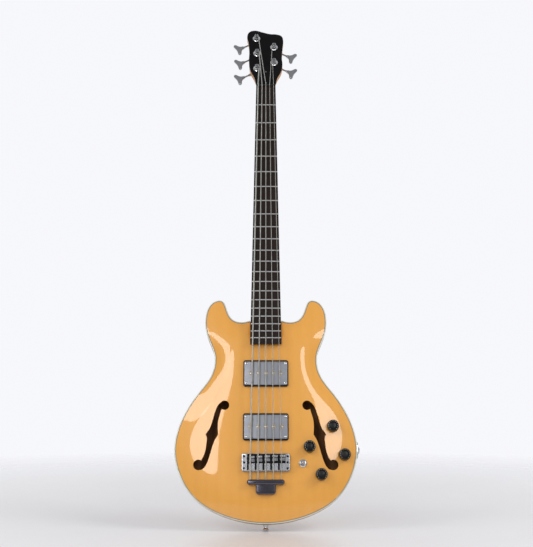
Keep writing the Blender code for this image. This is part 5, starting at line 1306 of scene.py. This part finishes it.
class BASS_OT_build_tuners(Operator):
    """Builds the five tuning machines"""

    bl_idname = "bass.build_tuners"
    bl_label = "Tuning Machines"

    def execute(self, context):
        for number in STRINGS:
            place, outward, worm = machine(number)
            here = HEAD @ Matrix.Translation(place)
            shaft = pointing(worm, outward) @ quarter("Y")
            self.make_housing(number + 1, here, pointing(place, outward), shaft)
            self.make_post(number + 1, here)
            self.make_key(number + 1, pointing(worm + outward * KEY_REACH, outward), shaft)
        return {"FINISHED"}

    def make_housing(self, tag, here, faced, shaft):
        """The bushing through the headstock, the gear case on its plate, and their screws."""
        back = -HEAD_THICKNESS - CLEARANCE
        bottom = back - CASE_HEIGHT
        bore = POST_RADIUS + CLEARANCE
        bushing = softened([(bore, WASHER_HEIGHT), (WASHER_RADIUS - 0.0018, WASHER_HEIGHT),
                            (WASHER_RADIUS, 0.0007), (WASHER_RADIUS, CLEARANCE), (BUSHING_RADIUS, CLEARANCE),
                            (BUSHING_RADIUS, back), (bore, back)], 0.0004)
        dome = [(CASE_RADIUS - 0.0035 + GEAR_ROUND * sin(turn), bottom + GEAR_ROUND * (1 - cos(turn)))
                for turn in quarter_angles(6, 1)]
        case = turned([(0.0, bottom), *dome, (CASE_RADIUS, back), (0.0, back)], here, 40)
        width, length, thick = BASE_PLATE
        plate = slab([rectangle(width, length, 0.003)], back - thick, back, 0.0, 0.0005, faced)
        bearing = turned(softened([(0.0, 0.0), (0.0038, 0.0), (0.0038, 0.0125), (0.0030, 0.0190),
                                   (0.0024, 0.0190), (0.0, 0.0188)], 0.0005), shaft, 28)
        housing = f"tuner_housing_{tag}"
        add_piece(f"machine_{tag}", joined(case, plate, bearing), "bass", "satin_chrome", housing)
        add_piece(f"bushing_{tag}", turned_ring(bushing, here), "bass", "chrome", housing)
        flip = quarter("X", 2)
        across, along = BASE_PLATE_SCREWS
        seats = [faced @ Matrix.Translation((x * across, y * along, back - thick)) @ flip for x, y in CORNERS]
        gear = copies(screw_head(*GEAR_SCREW), here @ Matrix.Translation((0.0, 0.0, bottom + 0.0004)) @ flip)
        screws = joined(copies(screw_head(*MACHINE_SCREW), *seats), gear)
        add_piece(f"machine_{tag}_screws", screws, "bass", "chrome")

    def make_post(self, tag, here):
        """The waisted post with its slot and its well for the string's end."""
        floor = -HEAD_THICKNESS - CLEARANCE - CASE_HEIGHT + 0.0016 + CLEARANCE
        above = POST_HEIGHT + 0.01
        post = turned(softened([
            (0.0, POST_HEIGHT), (POST_CAP - 0.0006, POST_HEIGHT), (POST_CAP, POST_HEIGHT - 0.0008),
            (POST_CAP, POST_HEIGHT - 0.0017), (POST_WAIST, POST_HEIGHT - 0.0030),
            (POST_WAIST, WASHER_HEIGHT + 0.0006), (POST_RADIUS, WASHER_HEIGHT), (POST_RADIUS, floor),
            (0.0, floor)], 0.0005), here, 36)
        groove = block((-POST_GROOVE_HALF, -0.01, POST_HEIGHT - 0.0030),
                       (POST_GROOVE_HALF, 0.01, above), here)
        well = rod(POST_WELL_RADIUS, above, POST_HEIGHT - POST_WELL_DEPTH, here, 20)
        post = carved(post, "DIFFERENCE", groove, well, rounding=0.00015)
        add_piece(f"post_{tag}", post, f"tuner_post_{tag}", "satin_chrome", f"tuner_post_{tag}")

    def make_key(self, tag, here, shaft):
        """The pillowed three-lobed key on its shaft."""
        loop = drawn([*KEY_LOBE, *((x, -y) for x, y in reversed(KEY_LOBE))], 7)
        pillow = slab([loop], -KEY_HALF_THICKNESS, KEY_HALF_THICKNESS, 0.0029, 0.0029, here, 8, 60.0)
        start, end = -0.0047, KEY_REACH - 0.006
        stem = turned(softened([
            (0.0, start), (KEY_SHAFT_RADIUS, start), (KEY_SHAFT_RADIUS, KEY_REACH - 0.0125),
            (0.0029, KEY_REACH - 0.0120), (0.0029, KEY_REACH - 0.0098), (0.0022, KEY_REACH - 0.0090),
            (0.0022, end), (0.0, end)], 0.0003), shaft, 24)
        add_piece(f"key_{tag}", joined(pillow, stem), f"tuner_key_{tag}", "satin_chrome", f"tuner_key_{tag}")


def string_x(number, spread):
    """Place of a string across the bass."""
    return spread * (number / 4 - 0.5)


def string_point(number, y):
    """The middle of a string between the nut and its saddle."""
    share = (NUT_FRONT - y) / SCALE_LENGTH
    x_nut, x_bridge = string_x(number, SPREAD_NUT), string_x(number, SPREAD_BRIDGE)
    z_nut, z_bridge = LEVEL_NUT - radius_drop(x_nut), LEVEL_BRIDGE - radius_drop(x_bridge)
    return Vector((x_nut + (x_bridge - x_nut) * share, y, z_nut + (z_bridge - z_nut) * share))


def wrap_points(number, start, per_turn=26):
    """The turns of a string round its post, in the headstock's plane."""
    radius = STRING_RADII[number]
    x, y = POST_PLACES[number]
    side = -1.0 if x < 0 else 1.0
    around = POST_WAIST + CLEARANCE + radius
    run = Vector((x, y)) - start.to_2d()
    heading = atan2(run.y, run.x) + side * atan2(around, sqrt(run.length_squared - around ** 2))
    first = heading + side * pi / 2
    pitch = 2 * radius + CLEARANCE
    top = WRAP_LEVEL - radius
    turns = min(STRING_TURNS, (top - WASHER_HEIGHT - CLEARANCE - radius) / pitch)
    points = []
    for step in range(int(per_turn * turns) + 1):
        angle = first - side * 2 * pi * step / per_turn
        level = top - pitch * step / per_turn
        points.append(Vector((x + around * cos(angle), y + around * sin(angle), level)))
    return points


class BASS_OT_build_strings(Operator):
    """Builds the five wound strings"""

    bl_idname = "bass.build_strings"
    bl_label = "Strings"

    def execute(self, context):
        tilted = BENCH.inverted() @ HEAD
        lift = Vector((0.0, 0.0, CLEARANCE))
        for number in STRINGS:
            x = string_x(number, SPREAD_BRIDGE)
            line = SADDLE_LINE + SADDLE_STEPS[number]
            nut = string_point(number, NUT_FRONT)
            rear = Vector((nut.x, NUT_BACK, nut.z))
            path = [Vector((x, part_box(f"string_{number + 1}")[0].z, TAIL_STRING_LEVEL)),
                    Vector((x, TAIL_EXIT_Y, TAIL_STRING_LEVEL)),
                    string_point(number, line - 0.0035) + lift, string_point(number, line) + lift, nut, rear]
            wraps = [tilted @ point for point in wrap_points(number, tilted.inverted() @ rear)]
            path = softened([*path, wraps[0]], 0.002, 4, 0.4)[:-1] + wraps
            add_piece(f"wound_string_{number + 1}", tube(path, STRING_RADII[number]), "bass", "string_steel",
                      f"string_{number + 1}")
        return {"FINISHED"}


# Pickups, bridge and tailpiece


class BASS_OT_build_pickups(Operator):
    """Builds the two pickups with their poles, screws and rings"""

    bl_idname = "bass.build_pickups"
    bl_label = "Pickups"

    def execute(self, context):
        rounding = context.scene.bass_details.cover_round
        width, length = PICKUP_SIZE
        across, along = width / 2 - COVER_SCREW_MARGIN, length / 2 - COVER_SCREW_MARGIN
        low = TOP_LEVEL + CLEARANCE
        for place, (middle, pitch) in PICKUPS.items():
            body = f"{place}_pickup"
            outline = rectangle(width, length, PICKUP_CORNER, (0.0, middle))
            cover = slab([outline], PICKUP_TOP - PICKUP_HEIGHT, PICKUP_TOP, rounding, 0.0)
            add_piece(f"{place}_cover", cover, body, "pickup_cover", body)
            seats = [spot((number - 2) * pitch, middle, PICKUP_TOP) for number in STRINGS]
            collar = turned_ring([(0.0029, -0.0004), (0.0044, -0.0004), (0.0044, 0.0001), (0.0041, 0.0004),
                                  (0.0032, 0.0004), (0.0029, 0.0001)], STRAIGHT, 28)
            add_piece(f"{place}_pole_rings", copies(collar, *seats), body, "brass")
            pole = carved(rod(POLE_RADIUS, 0.0006, -0.001, steps=24, rounding=0.0003), "DIFFERENCE",
                          block((-0.0003, -0.003, 0.0), (0.0003, 0.003, 0.002), STRAIGHT))
            add_piece(f"{place}_poles", copies(pole, *seats), body, "satin_chrome")
            corners = [spot(x * across, middle + y * along, PICKUP_TOP, x + y) for x, y in CORNERS]
            add_piece(f"{place}_cover_screws", copies(screw_head(*COVER_SCREW), *corners), body, "chrome")
            border = [rectangle(*RING_SIZE, RING_CORNER, (0.0, middle)),
                      rectangle(width + RING_ROOM, length + RING_ROOM, PICKUP_CORNER, (0.0, middle))]
            ring = slab(border, low, low + RING_HEIGHT, 0.0005, 0.0)
            add_piece(f"{place}_ring", ring, "bass", "black_plastic", f"{place}_pickup_ring")
        return {"FINISHED"}


class BASS_OT_build_bridge(Operator):
    """Builds the bridge, its saddles and the tailpiece"""

    bl_idname = "bass.build_bridge"
    bl_label = "Bridge and Tailpiece"

    def execute(self, context):
        width, length, height = BRIDGE_SIZE
        low = TOP_LEVEL + CLEARANCE
        high = low + height
        floor = low + BRIDGE_FLOOR
        lefts = [string_x(number, SPREAD_BRIDGE) + SADDLE_SHIFT - SADDLE_WIDTH / 2 for number in STRINGS]
        tray_left, tray_right = lefts[0] - 0.0046, lefts[-1] + SADDLE_WIDTH + 2 * CLEARANCE
        front = BRIDGE_MIDDLE + length / 2 - 0.0013
        rear = front - TRAY_LENGTH
        cuts = [block((tray_left, rear, floor), (tray_right, front, high + RIM))]
        for left in lefts:
            slit = rectangle(*SLIT_SIZE, (left - 0.0026, rear - 0.0062))
            cuts.append(slab([slit], floor, high + RIM))
        end = (width + tray_right - tray_left) / 4
        bolts = [(side * end, BRIDGE_MIDDLE + row * length * BOLT_ROW, side + row)
                 for side in (-1.0, 1.0) for row in (-1.0, 0.0, 1.0)]
        radius, depth = BOLT_WELL
        well = [(0.0, height), (radius + 0.001, height), (radius, -0.0012), (radius, depth), (0.0, depth)]
        cuts += [turned(well, spot(x, y, high), 20) for x, y, turn in bolts]
        base = slab([rectangle(width, length, BRIDGE_CORNER, (0.0, BRIDGE_MIDDLE))], low, high, 0.0009, 0.0)
        base = carved(base, "DIFFERENCE", *cuts)
        # The floors of the tray and its slits take the black finish: painted shade, a dark sheet where the
        # hollows between the saddles fall into shadow
        for face in base.polygons:
            if abs(face.center.y + floor) < 1e-5:
                face.material_index = 1
        add_piece("bridge_body", base, "bass", "satin_chrome", "bridge_base", extra=("black_plastic",))
        # The bolts take the black finish so their wells read as dark holes: painted shade on real screws
        seats = [spot(x, y, high - BOLT_SINK, turn) for x, y, turn in bolts]
        add_piece("bridge_bolts", copies(socket_screw(*BRIDGE_BOLT), *seats), "bass", "black_plastic")
        for number in STRINGS:
            self.make_saddle(number, floor + CLEARANCE)
        self.make_tailpiece(low)
        return {"FINISHED"}

    def make_saddle(self, number, low):
        """A saddle with its grooved crest and its two height screws."""
        crest = string_point(number, SADDLE_LINE + SADDLE_STEPS[number])
        reach = STRING_RADII[number] + CLEARANCE
        top = crest.z + STRING_RADII[number] * 0.3
        body_top = TOP_LEVEL + BRIDGE_SIZE[2] + SADDLE_RISE
        profile = [(SADDLE_BACK, low), (SADDLE_FRONT, low), (SADDLE_FRONT, top - 0.0012),
                   (0.0015, top - 0.0004), (0.0006, top), (-0.0006, top), (-0.0014, top - 0.0004),
                   (-0.0024, top - 0.0014), (-0.0042, body_top + 0.0006), (SADDLE_BACK, body_top)]
        left = crest.x + SADDLE_SHIFT - SADDLE_WIDTH / 2
        rings = [[Vector((x, crest.y + u, v)) for u, v in profile] for x in (left, left + SADDLE_WIDTH)]
        groove = rod(reach, 0.02, -0.02, spot(crest.x, crest.y, crest.z + CLEARANCE) @ quarter("X"), 24)
        body = f"saddle_{number + 1}"
        add_piece(f"saddle_block_{number + 1}", carved(lofted(rings), "DIFFERENCE", groove, rounding=0.00025),
                  body, "satin_chrome", body)
        seats = [spot(left + share * SADDLE_WIDTH, crest.y - SADDLE_SCREW_BACK, body_top - 0.0001)
                 for share in SADDLE_SCREW_SHARES]
        add_piece(f"{body}_screws", copies(socket_screw(*SADDLE_BOLT), *seats), body, "dark_chrome")

    def make_tailpiece(self, low):
        """The rounded bar on its tongue, with a ball-end seat for each string."""
        bar = slab([rectangle(*TAIL_BAR, (0.0, TAIL_Y), 8)], low, low + TAIL_BAR_TOP, 0.0035, 0.0006, steps=6)
        tongue = slab([rectangle(*TAIL_TONGUE, (0.0, TAIL_Y - TAIL_TONGUE_SHIFT), 8)], low + 0.0001,
                      low + TAIL_TONGUE_TOP, 0.0026, 0.0005, steps=6)
        holes = []
        for number in STRINGS:
            reach = STRING_RADII[number] + CLEARANCE
            place = spot(string_x(number, SPREAD_BRIDGE), TAIL_Y, TAIL_STRING_LEVEL) @ quarter("X", -1)
            holes.append(turned([(0.0, 0.006), (reach + 0.0008, 0.006), (reach, 0.0045), (reach, -0.0025),
                                 (0.0, -0.0025)], place, 20))
        whole = carved(carved(bar, "UNION", tongue), "DIFFERENCE", *holes, angle=38.0)
        add_piece("tail_block", whole, "bass", "dark_chrome", "tailpiece")


# Controls, jack and strap buttons


class BASS_OT_build_controls(Operator):
    """Builds the knobs, the switch and the jack plate"""

    bl_idname = "bass.build_controls"
    bl_label = "Controls"

    def execute(self, context):
        details = context.scene.bass_details
        for number, (x, y) in enumerate(KNOBS, 1):
            self.make_knob(number, x, y, details)
        self.make_switch()
        self.make_jack()
        return {"FINISHED"}

    def make_knob(self, number, x, y, details):
        """A fluted black knob with a ring of pale dots."""
        body = f"knob_{number}"
        head, tip = (-corner.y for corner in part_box(body))
        foot = head - KNOB_SKIRT
        top = KNOB_RADIUS

        def swell(turn, height):
            """How far the flutes take the side in at an angle and a height."""
            share = held((head - 0.0018 - height) / 0.002) * held((height - foot) / 0.001)
            return 1.0 - FLUTE_DEPTH * share * (0.5 + 0.5 * cos(details.flutes * turn)) ** 2

        dish = [(reach, head - 0.0005 - reach ** 2 / 0.1) for reach in (0.0, 0.002, 0.004, 0.006, 0.0076)]
        lip = [(0.0079, head - 0.0014), (0.0083, head - 0.0004), (0.0086, head),
               (top - 0.0009, head - 0.0006), (top - 0.0002, head - 0.0009), (top, head - 0.0014)]
        skirt = [(top + 0.0009 * share, head - 0.0014 - 0.0119 * share)
                 for share in (0.15, 0.3, 0.65, 0.9, 1.0)]
        under = [(0.0124, foot), (0.0075, foot), (0.0075, foot + 0.006), (0.003, foot + 0.006), (0.003, tip),
                 (0.0, tip)]
        mesh = turned([*dish, *lip, *skirt, *under], spot(x, y), details.flutes * 6, swell, 40.0)
        add_piece(f"control_{number}", mesh, body, "knob_black", body)
        marks = []
        for i in range(details.dots):
            turn = -0.75 * pi + 1.5 * pi * i / max(1, details.dots - 1)
            marks.append(spot(x + DOT_RING * sin(turn), y + DOT_RING * cos(turn), head - 0.0003))
        if marks:
            dot = rod(DOT_RADIUS, 0.00012, -0.0002, steps=12, rounding=0.0001)
            add_piece(f"control_{number}_dots", copies(dot, *marks), body, "pale_dots")

    def make_switch(self):
        """The switch's round nut and its lever."""
        top = -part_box("toggle_switch")[0].y
        tip = -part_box("toggle_lever")[0].y
        seat = top - SWITCH_NUT_HEIGHT
        nut = turned_ring(softened([
            (0.0062, seat), (0.0085, seat), (0.0085, seat + 0.0011), (0.0063, seat + 0.0018),
            (0.0062, top + 0.0001), (0.0044, top + 0.0001)], 0.0003), spot(*SWITCH), 48)
        add_piece("switch_nut", nut, "bass", "chrome")
        ball = [(SWITCH_BALL * sin(radians(angle)), seat - SWITCH_BALL * cos(radians(angle)))
                for angle in range(0, 150, 15)]
        stem = [(0.0014, seat + 0.0030), (0.0014, tip - 0.0062), (0.0022, tip - 0.0050),
                (0.0028, tip - 0.0032), (0.0028, tip - 0.0018), (0.0022, tip - 0.0006), (0.0012, tip),
                (0.0, tip)]
        lever = turned(ball + softened(stem, 0.0006), spot(*SWITCH), 24)
        add_piece("switch_lever", lever, "toggle_lever", "chrome", "toggle_lever")

    def make_jack(self):
        """The oval jack plate on the treble side, with its screws."""
        # In the plate's frame, z points out of the body and y up the neck
        outward = Matrix(((0.0, 0.0, 1.0, 0.0), (1.0, 0.0, 0.0, 0.0), (0.0, 1.0, 0.0, 0.0),
                          (0.0, 0.0, 0.0, 1.0)))
        side = Matrix.Translation((BODY_HALF, 0.0, JACK_Y)) @ outward
        outline = [rectangle(*JACK_PLATE), circle(0.0, 0.0, JACK_BORE, 32)]
        plate = slab(outline, CLEARANCE, CLEARANCE + PLATE_HEIGHT, 0.0006, 0.0, side)
        add_piece("jack_cover", plate, "bass", "chrome", "jack_plate")
        across, along = JACK_SCREWS
        seats = [side @ Matrix.Translation((x * across, y * along, CLEARANCE + 0.0014)) for x, y in CORNERS]
        add_piece("jack_cover_screws", copies(screw_head(*SMALL_SCREW), *seats), "bass", "satin_chrome")


class BASS_OT_build_buttons(Operator):
    """Builds the two strap buttons"""

    bl_idname = "bass.build_buttons"
    bl_label = "Strap Buttons"

    def execute(self, context):
        long = BUTTON_LENGTH
        profile = [(0.0, long + 0.025), (0.0020, long + 0.022), (0.0020, long), (0.0062, long),
                   (0.0062, long - 0.0012), (0.0042, long * 0.60), (0.0042, long * 0.42),
                   (0.0062, long * 0.20), (0.0068, long * 0.10), (0.0058, 0.0), (0.0036, 0.0),
                   (0.0030, 0.0010), (0.0, 0.0010)]
        for name, node_name, matrix in (
                ("end_button", "end_strap_button", BENCH @ quarter("X", -1)),
                ("heel_button", "heel_strap_button",
                 spot(0.0, HEEL_BUTTON_Y, BACK_LEVEL - CLEARANCE - BUTTON_LENGTH))):
            button = turned(softened(profile, 0.0009, 4), matrix, 40)
            seat = matrix @ Matrix.Translation((0.0, 0.0, 0.0010)) @ quarter("X", 2)
            screw = copies(screw_head(*BUTTON_SCREW), seat)
            add_piece(name, joined(button, screw), "bass", "chrome", node_name)
        return {"FINISHED"}


# Studio


class BASS_OT_build_stage(Operator):
    """Sets the camera, the soft lamps, the pale floor and the even room light"""

    bl_idname = "bass.build_stage"
    bl_label = "Stage"

    def execute(self, context):
        scene = context.scene
        studio = scene.bass_studio
        self.add_floor(scene, studio)
        self.add_camera(scene, studio)
        for name, size, place, roll in WINDOW_LAMPS:
            self.add_lamp(scene, name, studio.window_power * size[0] * size[1], size, place, radians(roll))
        for name, share, place in SOFT_LAMPS:
            self.add_lamp(scene, name, studio.soft_power * share, SOFT_SIZE, place, 0.0, False)
        self.set_world(scene, studio)
        scene.view_settings.view_transform = "Standard"
        return {"FINISHED"}

    def add_camera(self, scene, studio):
        """The camera where the photograph's stood."""
        camera = bpy.data.objects.new("camera", bpy.data.cameras.new("camera"))
        camera.data.lens = studio.lens
        camera.data.sensor_width = SENSOR_WIDTH
        camera.location = CAMERA_PLACE
        camera.rotation_euler = (CAMERA_TILT, 0.0, 0.0)
        scene.collection.objects.link(camera)
        scene.camera = camera

    def add_lamp(self, scene, name, power, size, place, roll, mirrored=True):
        """A soft oval lamp that faces the body, rolled about its own axis."""
        lamp = bpy.data.lights.new(name, "AREA")
        lamp.shape = "ELLIPSE"
        lamp.size, lamp.size_y = size
        lamp.energy = power
        holder = bpy.data.objects.new(name, lamp)
        holder.location = place
        facing = (LAMP_TARGET - Vector(place)).to_track_quat("-Z", "Y")
        holder.rotation_euler = (facing.to_matrix() @ Matrix.Rotation(roll, 3, "Z")).to_euler()
        holder.visible_glossy = mirrored
        scene.collection.objects.link(holder)

    def add_floor(self, scene, studio):
        """A wide pale floor that meets the end of the strap button."""
        bm = bmesh.new()
        bmesh.ops.create_grid(bm, x_segments=24, y_segments=24, size=FLOOR_REACH)
        mesh = finished(bm, Matrix.Rotation(studio.lean, 4, "X"))
        floor = bpy.data.objects.new("floor", mesh)
        floor.location = (0.0, 0.0, -FLOOR_DROP)
        made, tree, shader, position = surface("pale floor")
        worn = handled(tree, position, 0.32, 0.06, 2.5)
        paler = tuple(value * 0.985 for value in studio.floor)
        tree.links.new(mixed(tree, worn["Dust"], studio.floor, paler), shader["Base Color"])
        tree.links.new(worn["Roughness"], shader["Roughness"])
        glass = node(tree, "ShaderNodeBsdfTransparent").outputs[0]
        beneath = node(tree, "ShaderNodeNewGeometry").outputs["Backfacing"]
        reach = node(tree, "ShaderNodeVectorMath", {0: position}, operation="LENGTH").outputs["Value"]
        side = maths(tree, "MAXIMUM", beneath, remap(tree, reach, *FLOOR_FADE, 0.0, 1.0))
        opaque = tree.nodes["Principled BSDF"].outputs[0]
        both = node(tree, "ShaderNodeMixShader", {0: side, 1: opaque, 2: glass}).outputs[0]
        tree.links.new(both, tree.nodes["Material Output"].inputs["Surface"])
        mesh.materials.append(made)
        scene.collection.objects.link(floor)

    def set_world(self, scene, studio):
        """Even room light, and the pale backdrop where camera or reflections see it."""
        world = bpy.data.worlds.new("studio")
        world.use_nodes = True
        tree = world.node_tree
        rays = node(tree, "ShaderNodeLightPath").outputs
        mirrored = maths(tree, "MAXIMUM", rays["Is Glossy Ray"], rays["Is Transmission Ray"])
        # Mirrored, the room is darker below, and the backdrop behind the bass has its full strength
        direction = node(tree, "ShaderNodeTexCoord").outputs["Generated"]
        depth = node(tree, "ShaderNodeSeparateXYZ", {0: direction})
        height = remap(tree, depth.outputs["Z"], -0.5, 0.7, studio.room * 0.35, studio.room * 0.95)
        behind = remap(tree, depth.outputs["Y"], -0.35, 0.45, height, 1.0)
        even = remap(tree, rays["Is Camera Ray"], 0.0, 1.0, studio.room, 1.0)
        light = node(tree, "ShaderNodeMix", {0: mirrored, 2: even, 3: behind}).outputs[0]
        ground = tree.nodes["Background"].inputs
        ground["Color"].default_value = (*studio.backdrop, 1.0)
        tree.links.new(light, ground["Strength"])
        scene.world = world


class BASS_PT_bass(Panel):
    """Lists the pieces of the bass and the values a user may change"""

    bl_idname = "BASS_PT_bass"
    bl_label = "Electric Bass"
    bl_space_type = "VIEW_3D"
    bl_region_type = "UI"
    bl_category = "Bass"

    def draw(self, context):
        layout = self.layout
        for step in STEPS:
            layout.operator(step.bl_idname)
        for group in (context.scene.bass_details, context.scene.bass_colours, context.scene.bass_studio):
            box = layout.box()
            for key in group.__annotations__:
                box.prop(group, key)


STEPS = (
    BASS_OT_finish_kept_nodes,
    BASS_OT_build_body,
    BASS_OT_build_neck,
    BASS_OT_build_fretboard,
    BASS_OT_build_tuners,
    BASS_OT_build_strings,
    BASS_OT_build_pickups,
    BASS_OT_build_bridge,
    BASS_OT_build_controls,
    BASS_OT_build_buttons,
    BASS_OT_build_stage,
)
CLASSES = (BassColours, BassDetails, BassStudio, *STEPS, BASS_PT_bass)


def register():
    """Makes the operators, the panel and the scene's values known."""
    for item in CLASSES:
        bpy.utils.register_class(item)
    bpy.types.Scene.bass_colours = PointerProperty(type=BassColours)
    bpy.types.Scene.bass_details = PointerProperty(type=BassDetails)
    bpy.types.Scene.bass_studio = PointerProperty(type=BassStudio)


def unregister():
    """Takes them away again."""
    del bpy.types.Scene.bass_studio
    del bpy.types.Scene.bass_details
    del bpy.types.Scene.bass_colours
    for item in reversed(CLASSES):
        bpy.utils.unregister_class(item)


def main():
    """Builds the bass in its studio."""
    register()
    for step in STEPS:
        group, action = step.bl_idname.split(".")
        getattr(getattr(bpy.ops, group), action)()


if __name__ == "__main__":
    main()
